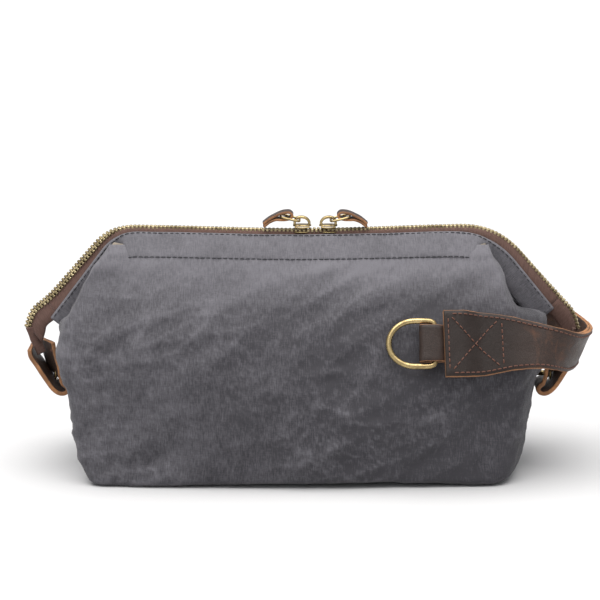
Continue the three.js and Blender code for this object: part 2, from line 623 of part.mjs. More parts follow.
// Where the handle runs: sewn flat to the front, round the right end in one bow, and back to the rear.
function handleLine() {
  const y = frontY(HANDLE_Z);
  const lowZ = HANDLE_Z - HANDLE_SAG;
  const out = HANDLE_OUT_X;
  const sewn = [0, HANDLE_SEWN / 2, HANDLE_SEWN].map((along) => V(HANDLE_START_X + along, -y, HANDLE_Z));
  const leaving = V(FOLD_HALF_X - 2, -y, mix(HANDLE_Z, lowZ, 0.25));
  const turning = V(out - 9, -y * 0.66, mix(HANDLE_Z, lowZ, 0.75));
  const front = [...sewn, leaving, turning, V(out, 0, lowZ)];
  const back = front.slice(0, -1).reverse().map((p) => V(p.x, -p.y, p.z));
  return new THREE.CatmullRomCurve3([...front, ...back]);
}
const handleCurve = handleLine();
const handleLength = handleCurve.getLength();

// A point on the handle: t along it, h from -1 to 1 across its width, lift out from the cloth.
function handlePoint(t, h, lift) {
  const p = handleCurve.getPointAt(t);
  const along = handleCurve.getTangentAt(t);
  const fromEnd = Math.min(t, 1 - t) * handleLength;
  const width = mix(HANDLE_END_WIDTH, HANDLE_WIDTH, ease(fromEnd / HANDLE_FLARE));
  const free = ease((fromEnd - 36) / 30);
  const face = Math.sign(p.y) || -1;
  const turned = free * Math.abs(along.y);
  const lean = V(HANDLE_TIP * turned, -face * leanBack.y * (1 - turned), leanBack.z).normalize();
  lean.addScaledVector(along, -lean.dot(along)).normalize();
  const out = V(0, 0, 0).crossVectors(along, lean).normalize();
  const overLoop = face < 0 ? (LOOP_STACK + TOUCH) * (1 - ease((fromEnd - 8) / 14)) : 0;
  const clear = CANVAS_CROWN * (1 - free) + TOUCH + overLoop;
  return p.addScaledVector(lean, (h * width) / 2).addScaledVector(out, clear + lift);
}

function handle() {
  const layer = (near, far) => sheet(
    (u, v) => handlePoint(u, mix(-1, 1, v), far),
    (u, v) => handlePoint(u, mix(-1, 1, v), near), 44, 3);
  add("handle_strap_inner", layer(0, LEATHER), leather);
  add("handle_strap_outer", layer(LEATHER + TOUCH, 2 * LEATHER + TOUCH), leather);
}

const ringFoot = V(RING_X, -frontY(HANDLE_Z), HANDLE_Z).addScaledVector(faceOut, CANVAS_CROWN + TOUCH);
function onFront(x, up, out) {
  return ringFoot.clone().add(V(x, 0, 0)).addScaledVector(leanBack, up).addScaledVector(faceOut, out);
}

function dRing() {
  const half = RING_INNER / 2 + RING_WIRE_R;
  const corner = 2.5;
  const path = [];
  for (let i = 0; i <= 12; i++) {
    const a = Math.PI / 2 + (Math.PI * i) / 12;
    path.push(onFront(-RING_ARM + half * Math.cos(a), half * Math.sin(a), BAR_OUT));
  }
  path.push(onFront(-corner, -half, BAR_OUT), onFront(0, -half + corner, BAR_OUT));
  path.push(onFront(0, half - corner, BAR_OUT), onFront(-corner, half, BAR_OUT));
  add("d_ring", sweep(path, () => roundSection(RING_WIRE_R, 8), faceOut, true), brass);
}

function dRingLoop() {
  const t = LOOP_LEATHER;
  const lowMid = t / 2;
  const highMid = BAR_OUT + RING_WIRE_R + TOUCH + t / 2;
  const tuckMid = 1.5 * t + TOUCH;
  const fold = -LOOP_REACH + t / 2;
  const route = [[LOOP_TUCK, lowMid], [0, lowMid], [fold + 2.2, lowMid], [fold, lowMid + 1.6],
    [fold, highMid - 2.2], [fold + 2.2, highMid - 0.4], [-2, highMid], [1, highMid], [2.2, highMid - 0.6],
    [RING_TO_HANDLE - 1, tuckMid + 0.8], [RING_TO_HANDLE + 1, tuckMid], [LOOP_TUCK, tuckMid]];
  const path = route.map(([x, out]) => onFront(x, 0, out));
  const half = RING_INNER / 2 - RING_LOOP_CLEAR;
  add("d_ring_loop", sweep(path, () => boxSection(-t / 2, t / 2, -half, half), leanBack), leather);
}

// ---------------------------------------------------------------- end tabs
function endTab(name, side) {
  const reach = TAB_CLEAR + TAB_THICK / 2;
  const onSide = (z) => V(sideX(z) + reach / Math.cos(rivetSlope), 0, z);
  const bottomX = onSide(TAB_LOW_Z).x + TAB_BEND;
  const outward = V(mix(bottomX, TAIL_END.x, 0.62), 0, mix(TAB_LOW_Z, TAIL_END.z, 0.38));
  const top = V(TAIL_END.x, 0, TAIL_END.z - TAB_TO_TAIL);
  const leg = [onSide(TAB_TOP_Z), onSide(RIVET_Z), onSide(RIVET_Z - 8)];
  const points = [...leg, V(bottomX, 0, TAB_LOW_Z), outward, top];
  const curve = new THREE.CatmullRomCurve3(points, false, "centripetal").getPoints(24);
  const path = curve.map((p) => V(side * p.x, 0, p.z));
  const band = boxSection(-TAB_THICK / 2, TAB_THICK / 2, -TAB_WIDTH / 2, TAB_WIDTH / 2);
  add(`${name}_end_tab`, cut(sweep(path, () => band, Y_AXIS), rivetHole(side)), leather);
}

// ---------------------------------------------------------------- assembly
baseAndWalls();
lining();
for (const [name, face] of FACES) {
  mouthCloth(name, face);
  for (const [sideName, side] of SIDES) gussetFold(name, face, sideName, side);
  hemAndWire(name, face);
  zip(name, face);
}
for (const [name, side] of SIDES) {
  sliderAndPull(name, side);
  endTab(name, side);
}
handle();
dRing();
dRingLoop();

export default bag;
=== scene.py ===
import json
import math

import bpy
import numpy as np
from bpy.props import FloatProperty, FloatVectorProperty, PointerProperty
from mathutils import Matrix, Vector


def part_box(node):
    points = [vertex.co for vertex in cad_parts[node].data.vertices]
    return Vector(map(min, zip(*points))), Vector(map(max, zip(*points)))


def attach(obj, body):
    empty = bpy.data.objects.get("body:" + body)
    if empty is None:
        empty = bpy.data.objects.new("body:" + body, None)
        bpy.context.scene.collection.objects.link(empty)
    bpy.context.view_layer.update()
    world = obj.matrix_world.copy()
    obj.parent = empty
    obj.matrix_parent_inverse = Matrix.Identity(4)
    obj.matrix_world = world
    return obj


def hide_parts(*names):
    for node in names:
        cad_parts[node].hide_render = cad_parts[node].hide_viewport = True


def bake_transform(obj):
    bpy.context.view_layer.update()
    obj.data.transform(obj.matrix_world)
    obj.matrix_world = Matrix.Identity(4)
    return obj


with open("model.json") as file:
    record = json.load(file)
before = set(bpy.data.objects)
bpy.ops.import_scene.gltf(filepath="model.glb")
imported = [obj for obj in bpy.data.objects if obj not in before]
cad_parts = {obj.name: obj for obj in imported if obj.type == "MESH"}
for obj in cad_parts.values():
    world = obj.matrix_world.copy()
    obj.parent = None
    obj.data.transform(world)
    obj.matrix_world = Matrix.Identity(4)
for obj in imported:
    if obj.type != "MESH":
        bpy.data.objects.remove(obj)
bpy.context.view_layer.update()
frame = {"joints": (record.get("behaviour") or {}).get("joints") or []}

bl_info = {
    "name": "Wire-framed wash bag",
    "version": (1, 0, 0),
    "blender": (4, 5, 0),
    "location": "View3D > Sidebar > Wash bag",
    "description": "Makes a waxed canvas wash bag with a wire-framed mouth, brass zip and leather fittings",
    "category": "Add Mesh",
}

MM = 0.001
FRONT, BACK = -1, 1
X, Y, Z = np.eye(3)


# ---------------------------------------------------------------- the frame, in millimetres
def cad_box(node):
    """The lowest and highest corner of a CAD node, in millimetres."""
    low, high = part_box(node)
    return np.array(low) / MM, np.array(high) / MM


def hinge_of(joint):
    """The point that a joint turns about, in millimetres."""
    return np.array(next(j for j in frame["joints"] if j["name"] == joint)["pos_m"]) / MM


CHAIN_HALF_HIGH = 1.2
BASE_X = cad_box("bottom_panel")[1][0]
FOLD_Z = cad_box("front_panel")[1][2]
FOLD_X = cad_box("right_gusset")[1][0]
MOUTH_Z = cad_box("front_hem")[1][2]
CHAIN_Z = cad_box("front_zip_teeth")[1][2] - CHAIN_HALF_HIGH


# ---------------------------------------------------------------- what a user may change
class BagSizes(bpy.types.PropertyGroup):
    """Sizes of the bag's soft and fine detail, in millimetres."""

    canvas_thick: FloatProperty(name="Canvas", description="Thickness of the canvas", default=1.3)
    row_step: FloatProperty(name="Mesh step", description="Distance between the canvas rows", default=1.7)
    drag_folds: FloatProperty(name="Drag folds", description="Height of the slanting soft folds", default=2.3)
    crumple: FloatProperty(name="Crumple", description="Height of the small creases", default=0.5)
    hem_depth: FloatProperty(name="Hem depth", description="Depth of the wire's casing", default=20.5)
    tooth_pitch: FloatProperty(name="Tooth pitch", description="Distance between teeth in a row", default=2.5)
    strap_thick: FloatProperty(name="Strap layer", description="Thickness of one handle layer", default=1.8)
    stitch_step: FloatProperty(name="Stitch", description="Distance between needle holes", default=3.3)


class BagColours(bpy.types.PropertyGroup):
    """Base colours of the bag's materials."""

    canvas: FloatVectorProperty(
        name="Canvas", description="Waxed canvas", subtype="COLOR", size=3, default=(0.06, 0.057, 0.066)
    )
    # Pale end of the canvas colour: wax worn off the fold crests, and also painted light on the top band and
    # the left side.
    canvas_pale_wear_and_light: FloatVectorProperty(
        name="Rubbed canvas", description="Canvas where the wax has worn", subtype="COLOR", size=3,
        default=(0.172, 0.166, 0.184),
    )
    leather: FloatVectorProperty(
        name="Leather", description="Oiled leather", subtype="COLOR", size=3, default=(0.042, 0.027, 0.022)
    )
    leather_rubbed: FloatVectorProperty(
        name="Rubbed leather", description="Leather where the oil has pulled away", subtype="COLOR", size=3,
        default=(0.13, 0.058, 0.032),
    )
    leather_edge: FloatVectorProperty(
        name="Cut edge", description="Raw edge of the leather", subtype="COLOR", size=3,
        default=(0.42, 0.19, 0.075),
    )
    tape: FloatVectorProperty(
        name="Zip tape", description="Woven zip tape", subtype="COLOR", size=3, default=(0.15, 0.085, 0.068)
    )
    lining: FloatVectorProperty(
        name="Lining", description="Cotton lining", subtype="COLOR", size=3, default=(0.36, 0.31, 0.25)
    )
    brass: FloatVectorProperty(
        name="Brass", description="Antique brass", subtype="COLOR", size=3, default=(0.54, 0.41, 0.2)
    )


# ---------------------------------------------------------------- numbers and curves
def unit(v):
    """v with its last axis scaled to length one."""
    v = np.asarray(v, float)
    return v / np.maximum(np.linalg.norm(v, axis=-1, keepdims=True), 1e-12)


def ease(t):
    """0 to 1, smooth at both ends."""
    t = np.clip(t, 0, 1)
    return t * t * (3 - 2 * t)


def step(low, high, value):
    """0 below low, 1 above high, smooth between."""
    return ease((value - low) / (high - low))


def through(*pairs):
    """A smooth function through these (place, value) pairs, which never overshoots them."""
    x, y = np.array(pairs, float).T
    gap = np.diff(x)
    rise = np.diff(y) / gap
    slope = np.concatenate([rise[:1], np.zeros(len(x) - 2), rise[-1:]])
    same = rise[1:] * rise[:-1] > 0
    slope[1:-1][same] = 2 * (rise[1:] * rise[:-1])[same] / (rise[1:] + rise[:-1])[same]

    def value(q):
        q = np.clip(q, x[0], x[-1])
        i = np.clip(np.searchsorted(x, q) - 1, 0, len(x) - 2)
        t = (q - x[i]) / gap[i]
        ends = y[i] * (1 + 2 * t) * (1 - t) ** 2 + y[i + 1] * t * t * (3 - 2 * t)
        return ends + gap[i] * (slope[i] * t * (1 - t) ** 2 + slope[i + 1] * t * t * (t - 1))

    return value


def perlin(x, y, seed):
    """Smooth noise from about -1 to 1, with cells one unit wide."""
    xi, yi = np.floor(x).astype(np.int64), np.floor(y).astype(np.int64)
    xf, yf = x - xi, y - yi

    def corner(dx, dy):
        h = (xi + dx) * 374761393 + (yi + dy) * 668265263 + seed * 974711
        h = ((h ^ (h >> 13)) * 1274126177) & 0x7FFFFFFF
        angle = ((h >> 7) % 4096) / 4096 * 2 * np.pi
        return np.cos(angle) * (xf - dx) + np.sin(angle) * (yf - dy)

    u, v = (t**3 * (t * (t * 6 - 15) + 10) for t in (xf, yf))
    low = corner(0, 0) * (1 - u) + corner(1, 0) * u
    high = corner(0, 1) * (1 - u) + corner(1, 1) * u
    return 1.5 * (low * (1 - v) + high * v)


def slanted(u, v, degrees, along, across, seed):
    """Noise drawn out along a slanting direction."""
    c, s = math.cos(math.radians(degrees)), math.sin(math.radians(degrees))
    return perlin((u * c + v * s) / along, (v * c - u * s) / across, seed)


def arc(points):
    """Distance along a line of points, from its first."""
    return np.concatenate([[0], np.cumsum(np.linalg.norm(np.diff(points, axis=0), axis=1))])


def evenly(points, count=None, gap=None):
    """The same line with evenly spaced points."""
    s = arc(points)
    count = count or max(2, int(round(s[-1] / gap)) + 1)
    at = np.linspace(0, s[-1], count)
    return np.stack([np.interp(at, s, points[:, k]) for k in range(points.shape[1])], 1)


def rounded(points, cuts, steps=10):
    """A line through these points, with each inner corner rounded off over its cut length."""
    points = np.array(points, float)
    line = [points[0]]
    for i, cut in enumerate(cuts, 1):
        p = points[i]
        a = p + unit(points[i - 1] - p) * cut
        b = p + unit(points[i + 1] - p) * cut
        for t in np.linspace(0, 1, steps):
            line.append(a * (1 - t) ** 2 + 2 * p * t * (1 - t) + b * t * t)
    return np.array([*line, points[-1]])


def spline(points, steps=16):
    """A Catmull-Rom curve through the points."""
    p = np.array(points, float)
    p = np.vstack([2 * p[0] - p[1], p, 2 * p[-1] - p[-2]])
    t = np.linspace(0, 1, steps, endpoint=False)[:, None]
    parts = []
    for a, b, c, d in zip(p, p[1:], p[2:], p[3:]):
        parts.append(
            0.5 * (2 * b + (c - a) * t + (2 * a - 5 * b + 4 * c - d) * t**2 + (3 * b - a - 3 * c + d) * t**3)
        )
    return np.vstack([*parts, p[-2:-1]])


def tangents(line, closed=False):
    """Unit direction at each point of a line."""
    if closed:
        return unit(np.roll(line, -1, 0) - np.roll(line, 1, 0))
    return unit(np.gradient(line, axis=0))


def grid_normals(grid):
    """Unit normal at each point of a grid of rows and columns."""
    return unit(np.cross(np.gradient(grid, axis=1), np.gradient(grid, axis=0)))


# ---------------------------------------------------------------- meshes
def make_mesh(name, verts, faces, uvs=None, materials=(), kinds=None, values=None, smooth=True):
    """A linked mesh object from millimetre points, with a UV map in metres and named point values."""
    mesh = bpy.data.meshes.new(name)
    mesh.from_pydata((np.asarray(verts) * MM).tolist(), [], [list(map(int, f)) for f in faces])
    if uvs is not None:
        layer = mesh.uv_layers.new(name="UVMap")
        corners = np.zeros(len(mesh.loops), int)
        mesh.loops.foreach_get("vertex_index", corners)
        layer.data.foreach_set("uv", (np.asarray(uvs)[corners] * MM).ravel())
    for material in materials:
        mesh.materials.append(material)
    if kinds is not None:
        mesh.polygons.foreach_set("material_index", np.asarray(kinds, int))
    mesh.polygons.foreach_set("use_smooth", [smooth] * len(mesh.polygons))
    for key, value in (values or {}).items():
        mesh.attributes.new(key, "FLOAT", "POINT").data.foreach_set("value", np.asarray(value, np.float32))
    mesh.update()
    made = bpy.data.objects.new(name, mesh)
    bpy.context.scene.collection.objects.link(made)
    return made


def joined(parts):
    """Several (points, faces, uvs, kinds) tuples as one."""
    verts, faces, uvs, kinds, start = [], [], [], [], 0
    for v, f, t, k in parts:
        verts.append(v)
        uvs.append(t)
        kinds += list(k)
        faces += [[i + start for i in face] for face in f]
        start += len(v)
    return np.vstack(verts), faces, np.vstack(uvs), kinds


def grid_faces(rows, cols, closed_rows=False, closed_cols=False):
    """Quads of a grid, whose points go row by row."""
    faces = []
    for r in range(rows if closed_rows else rows - 1):
        for c in range(cols if closed_cols else cols - 1):
            r2, c2 = (r + 1) % rows, (c + 1) % cols
            faces.append((r * cols + c, r * cols + c2, r2 * cols + c2, r2 * cols + c))
    return faces


def arc_rows(grid):
    """The distance along each row of a grid of points."""
    steps = np.linalg.norm(np.diff(grid, axis=1), axis=2)
    return np.concatenate([np.zeros((len(grid), 1)), np.cumsum(steps, 1)], 1)


def cloth(name, grid, thick, materials, values=None):
    """A sheet with real thickness: the grid is its outer face, and materials are outer, inner and rim."""
    rows, cols, _ = grid.shape
    normals = grid_normals(grid)
    inner = grid - normals * thick
    along = arc_rows(grid)
    up = np.concatenate([np.zeros((1, cols)), np.cumsum(np.linalg.norm(np.diff(grid, axis=0), axis=2), 0)], 0)
    along = along - along[:, cols // 2][:, None]
    up = up + grid[0, :, 2][None, :]
    uv = np.stack([along, up], 2).reshape(-1, 2)
    count = rows * cols
    outer = grid_faces(rows, cols)
    faces = [f[::-1] for f in outer] + [tuple(i + count for i in f) for f in outer]
    kinds = [0] * len(outer) + [1] * len(outer)
    ring = [*range(cols), *[r * cols + cols - 1 for r in range(1, rows)]]
    ring += [*range(count - 2, count - cols - 1, -1), *[r * cols for r in range(rows - 2, 0, -1)]]
    for a, b in zip(ring, ring[1:] + ring[:1]):
        faces.append((a, b, b + count, a + count))
        kinds.append(2)
    values = {key: np.tile(np.ravel(value), 2) for key, value in (values or {}).items()}
    points = np.vstack([grid.reshape(-1, 3), inner.reshape(-1, 3)])
    return make_mesh(name, points, faces, np.vstack([uv, uv]), materials, kinds, values)


def swept(line, across, out, section, closed=False, kinds=None):
    """Points, faces, uvs and kinds of a section carried along a line. Section points are (across, out)."""
    line, section = np.asarray(line, float), np.asarray(section, float)
    if section.ndim == 2:
        section = np.broadcast_to(section, (len(line), *section.shape))
    rows, cols = section.shape[:2]
    verts = line[:, None] + section[..., :1] * across[:, None] + section[..., 1:] * out[:, None]
    faces = grid_faces(rows, cols, closed, True)
    kinds = list(kinds) * (len(faces) // cols) if kinds is not None else [0] * len(faces)
    around = arc(np.vstack([section[0], section[0][:1]]))[:-1]
    uv = np.stack([np.repeat(arc(line), cols), np.tile(around, rows)], 1)
    if not closed:
        faces += [tuple(range(cols))[::-1], tuple(range((rows - 1) * cols, rows * cols))]
        kinds += [max(kinds), max(kinds)]
    return verts.reshape(-1, 3), faces, uv, kinds


def circle(radius, sides=12):
    """A round section."""
    a = np.arange(sides) / sides * 2 * np.pi
    return np.stack([radius * np.cos(a), radius * np.sin(a)], 1)


def wire(line, radius, up, closed=False, sides=12):
    """A round wire along a line."""
    along = tangents(line, closed)
    across = unit(np.cross(along, up))
    return swept(line, across, unit(np.cross(across, along)), circle(radius, sides), closed)


def strap_section(width, thick, faces=10, edge=0.3):
    """A leather strip's section with softened cut edges, and which of its sides are cut edges."""
    flat = np.linspace(-0.5, 0.5, faces) * (width - 2 * edge)
    top = [(a, thick / 2) for a in flat]
    right = [(width / 2 - 0.1 * edge, thick * 0.32), (width / 2, 0), (width / 2 - 0.1 * edge, -thick * 0.32)]
    low = [(a, -thick / 2) for a in flat[::-1]]
    left = [(-a, b) for a, b in right[::-1]]
    kinds = [0] * (faces - 1) + [1] * 4 + [0] * (faces - 1) + [1] * 4
    return np.array([*top, *right, *low, *left]), kinds


def strap(name, line, across, out, widths, thick, materials, wobble=0.12, seed=1, faces=10, oiled=0.0):
    """A leather strip with raw edges that are never quite straight."""
    along = arc(line)
    sections = []
    for s, width in zip(along, np.broadcast_to(widths, len(line))):
        section, kinds = strap_section(width, thick, faces)
        a = section[:, 0]
        edge = np.abs(a) > width / 2 - 0.5
        a = a + edge * np.sign(a) * wobble * perlin(s / 5 + np.sign(a) * 9, a * 0 + seed, seed)
        b = section[:, 1] + wobble * 0.7 * perlin(s / 9 + 0 * a, a / 7, seed + 4)
        sections.append(np.stack([a, b], 1))
    parts = swept(line, across, out, np.array(sections), kinds=kinds)
    oiled = np.repeat(np.broadcast_to(oiled, len(line)), len(kinds))
    return make_mesh(name, parts[0], parts[1], parts[2], materials, parts[3], {"oiled": oiled})


def stitch_row(line, out, pitch, length, radius, rise=0.35, sides=6):
    """Thread stitches along a line on a surface, each arched over it with its ends sunk in."""
    s = arc(line)
    count = max(1, int(s[-1] // pitch))
    parts, holes = [], []
    for i in range(count + 1):
        middle = i * s[-1] / count
        at = np.clip(middle + np.linspace(-0.5, 0.5, 7) * length, 0, s[-1])
        if at[-1] - at[0] < length * 0.6:
            continue
        p = np.stack([np.interp(at, s, line[:, k]) for k in range(3)], 1)
        n = unit(np.stack([np.interp(at, s, out[:, k]) for k in range(3)], 1))
        lift = radius * (-1.5 + (2.1 + rise) * np.sin(np.linspace(0, np.pi, 7)) ** 0.6)
        p = p + n * lift[:, None]
        parts.append(wire(p, radius, n, sides=sides))
        at_hole = middle + 0.5 * s[-1] / count
        holes.append((np.stack([np.interp(at_hole, s, line[:, k]) for k in range(3)]), n[3]))
    return parts, holes


def needle_hole_shadows(holes, radius):
    """A flattened dark bead sunk in the surface where each stitch meets the next: painted shadow in the
    needle hole.
    """
    parts = []
    for p, n in holes:
        side = unit(np.cross(n, [0.3, 0.9, 0.2]))
        line = p + n * np.array([-0.5, 0.0, 0.1])[:, None] * radius
        rings = np.stack([circle(radius * r, 7) for r in (0.9, 1.0, 0.6)])
        across = np.broadcast_to(side, (3, 3))
        parts.append(swept(line, across, np.broadcast_to(np.cross(n, side), (3, 3)), rings))
    return parts


def stitched(name, rows, body, thread, pitch, length, radius, hole=None, shadow_finish=None):
    """One seam's stitches, with dark beads as painted shadow in its needle holes, as a piece that rides on a
    body if one is given.
    """
    parts, pits = [], []
    for line, out in rows:
        made, holes = stitch_row(line, out, pitch, length, radius)
        parts += made
        pits += holes
    materials = [thread]
    if hole:
        dark = [(v, f, t, [1] * len(f)) for v, f, t, _ in needle_hole_shadows(pits, hole)]
        parts += dark
        materials.append(shadow_finish)
    seam = make_mesh(name, *joined(parts)[:3], materials, joined(parts)[3])
    if body:
        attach(seam, body)
    return seam


# ---------------------------------------------------------------- shader parts
class Tree:
    """A node tree that is filled in by calls: inputs are sockets or plain values."""

    def __init__(self, tree):
        self.tree = tree

    def node(self, kind, inputs=None, **settings):
        made = self.tree.nodes.new(kind)
        for key, value in settings.items():
            setattr(made, key, value)
        for key, value in (inputs or {}).items():
            if isinstance(value, bpy.types.NodeSocket):
                self.tree.links.new(value, made.inputs[key])
            else:
                made.inputs[key].default_value = value
        return made

    def math(self, operation, a, b=0.0, c=0.0):
        node = self.node("ShaderNodeMath", {0: a, 1: b, 2: c}, operation=operation)
        return node.outputs[0]

    def mix(self, factor, a, b, blend="MIX"):
        node = self.node("ShaderNodeMix", data_type="RGBA", blend_type=blend)
        for key, value in ((0, factor), (6, a), (7, b)):
            if isinstance(value, bpy.types.NodeSocket):
                self.tree.links.new(value, node.inputs[key])
            else:
                node.inputs[key].default_value = value if key == 0 else (*value[:3], 1.0)
        return node.outputs[2]

    def ramp(self, value, low, high, to_low=0.0, to_high=1.0):
        node = self.node(
            "ShaderNodeMapRange",
            {"Value": value, "From Min": low, "From Max": high, "To Min": to_low, "To Max": to_high},
            interpolation_type="SMOOTHSTEP",
        )
        return node.outputs[0]

    def noise(self, vector, scale, detail=2.0, rough=0.5, distortion=0.0):
        node = self.node(
            "ShaderNodeTexNoise",
            {
                "Vector": vector,
                "Scale": scale,
                "Detail": detail,
                "Roughness": rough,
                "Distortion": distortion,
            },
        )
        return node.outputs["Fac"]

    def stretch(self, vector, scale, turn=0.0):
        node = self.node("ShaderNodeMapping", {"Vector": vector, "Scale": scale, "Rotation": (0, 0, turn)})
        return node.outputs[0]


def group(name, inputs, outputs, fill):
    """A shader node group, built once: fill(tree, inputs) returns the values of its outputs."""
    made = bpy.data.node_groups.get(name)
    if made:
        return made
    made = bpy.data.node_groups.new(name, "ShaderNodeTree")
    for key, kind, value in inputs:
        socket = made.interface.new_socket(key, in_out="INPUT", socket_type=kind)
        if value is not None:
            socket.default_value = value
    for key, kind in outputs:
        made.interface.new_socket(key, in_out="OUTPUT", socket_type=kind)
    tree = Tree(made)
    entry = made.nodes.new("NodeGroupInput")
    leave = made.nodes.new("NodeGroupOutput")
    for (key, _), value in zip(outputs, fill(tree, entry.outputs)):
        made.links.new(value, leave.inputs[key])
    return made


FLOAT, VECTOR = "NodeSocketFloat", "NodeSocketVector"


def weave_group():
    """Plain weave: thread relief, thread-to-thread tone and slubs drawn out along the warp."""

    def fill(tree, given):
        place = tree.node("ShaderNodeVectorMath", {0: given["Place"]}, operation="SCALE")
        tree.tree.links.new(tree.math("DIVIDE", 1.0, given["Pitch"]), place.inputs["Scale"])
        bent = tree.node("ShaderNodeTexNoise", {"Vector": place.outputs[0], "Scale": 0.12, "Detail": 1.0})
        push = {0: bent.outputs["Color"], 1: (0.9, 0.9, 0.0)}
        moved = tree.node("ShaderNodeVectorMath", push, operation="MULTIPLY")
        place = tree.node("ShaderNodeVectorMath", {0: place.outputs[0], 1: moved.outputs[0]}, operation="ADD")
        split = tree.node("ShaderNodeSeparateXYZ", {0: place.outputs[0]})
        warp = tree.math("SINE", tree.math("MULTIPLY", split.outputs[0], math.pi))
        weft = tree.math("SINE", tree.math("MULTIPLY", split.outputs[1], math.pi))
        over = tree.math("MULTIPLY_ADD", tree.math("MULTIPLY", warp, weft), 0.5, 0.5)
        high = tree.math("MULTIPLY", tree.math("ABSOLUTE", warp), over)
        low = tree.math("MULTIPLY", tree.math("ABSOLUTE", weft), tree.math("SUBTRACT", 1.0, over))
        relief = tree.math("ADD", high, low)
        warps = tree.noise(tree.stretch(place.outputs[0], (0.9, 0.11, 1.0)), 1.0, 3.0, 0.7)
        wefts = tree.noise(tree.stretch(place.outputs[0], (0.16, 1.0, 1.0)), 1.0, 2.0, 0.6)
        slub = tree.math("MULTIPLY_ADD", wefts, 0.26, tree.math("MULTIPLY", warps, 0.74))
        return relief, slub, over

    return group(
        "Thread weave",
        [("Place", VECTOR, None), ("Pitch", FLOAT, 0.0006)],
        [("Relief", FLOAT), ("Slub", FLOAT), ("Over", FLOAT)],
        fill,
    )


def mottle_group():
    """Soft blotches and scuffs at three sizes, for wax, oil and tarnish."""

    def fill(tree, given):
        place, size = given["Place"], given["Size"]
        scale = tree.math("DIVIDE", 1.0, size)
        blotch = tree.noise(place, scale, 3.0, 0.6, 0.4)
        fleck = tree.noise(place, tree.math("MULTIPLY", scale, 7.0), 4.0, 0.7)
        drawn = tree.stretch(place, (1.0, 0.28, 1.0), 0.7)
        scuff = tree.noise(drawn, tree.math("MULTIPLY", scale, 3.0), 3.0, 0.6, 1.2)
        scuff = tree.ramp(scuff, 0.52, 0.72)
        return blotch, fleck, scuff

    return group(
        "Mottle and scuffs",
        [("Place", VECTOR, None), ("Size", FLOAT, 0.03)],
        [("Blotch", FLOAT), ("Fleck", FLOAT), ("Scuff", FLOAT)],
        fill,
    )


def grain_group():
    """Leather grain: pebbled cells with fine pores and long soft creases."""

    def fill(tree, given):
        place, size = given["Place"], given["Size"]
        scale = tree.math("DIVIDE", 1.0, size)
        bent = tree.node("ShaderNodeTexNoise", {"Vector": place, "Scale": scale, "Detail": 2.0})
        moved = tree.node("ShaderNodeVectorMath", {0: bent.outputs["Color"]}, operation="SCALE")
        tree.tree.links.new(tree.math("MULTIPLY", size, 0.5), moved.inputs["Scale"])
        place = tree.node("ShaderNodeVectorMath", {0: place, 1: moved.outputs[0]}, operation="ADD").outputs[0]
        pebbled = {"Vector": place, "Scale": scale}
        cells = tree.node("ShaderNodeTexVoronoi", pebbled, feature="DISTANCE_TO_EDGE")
        pebble = tree.ramp(cells.outputs["Distance"], 0.0, 0.22)
        fine = tree.noise(place, tree.math("MULTIPLY", scale, 3.0), 3.0, 0.65)
        drawn = tree.stretch(place, (1.0, 0.22, 1.0), 0.3)
        crease = tree.noise(drawn, tree.math("MULTIPLY", scale, 0.22), 3.0, 0.6)
        relief = tree.math("MULTIPLY_ADD", pebble, 0.35, tree.math("MULTIPLY_ADD", fine, 0.3, crease))
        return relief, pebble, fine

    return group(
        "Leather grain",
        [("Place", VECTOR, None), ("Size", FLOAT, 0.0012)],
        [("Relief", FLOAT), ("Pebble", FLOAT), ("Pores", FLOAT)],
        fill,
    )


def use(tree, made, **inputs):
    """Places a group in a material with its own values."""
    node = tree.node("ShaderNodeGroup", node_tree=made)
    for key, value in inputs.items():
        if isinstance(value, bpy.types.NodeSocket):
            tree.tree.links.new(value, node.inputs[key])
        else:
            node.inputs[key].default_value = value
    return node.outputs


def material(name, fill):
    """A material, built once: fill(tree, shader) makes its nodes."""
    made = bpy.data.materials.get(name)
    if made:
        return made
    made = bpy.data.materials.new(name)
    made.use_nodes = True
    fill(Tree(made.node_tree), made.node_tree.nodes["Principled BSDF"])
    return made


def fabric_place(tree):
    """Cloth and leather coordinates in metres, which stay with the surface as it bends."""
    return tree.node("ShaderNodeUVMap", uv_map="UVMap").outputs[0]


def solid_place(tree):
    """Object coordinates in metres, for rigid fittings."""
    return tree.node("ShaderNodeTexCoord").outputs["Object"]


def bump(tree, shader, height, distance, strength=1.0, normal=None):
    node = tree.node("ShaderNodeBump", {"Height": height, "Distance": distance, "Strength": strength})
    if normal is not None:
        tree.tree.links.new(normal, node.inputs["Normal"])
    if shader is not None:
        tree.tree.links.new(node.outputs[0], shader.inputs["Normal"])
    return node.outputs[0]


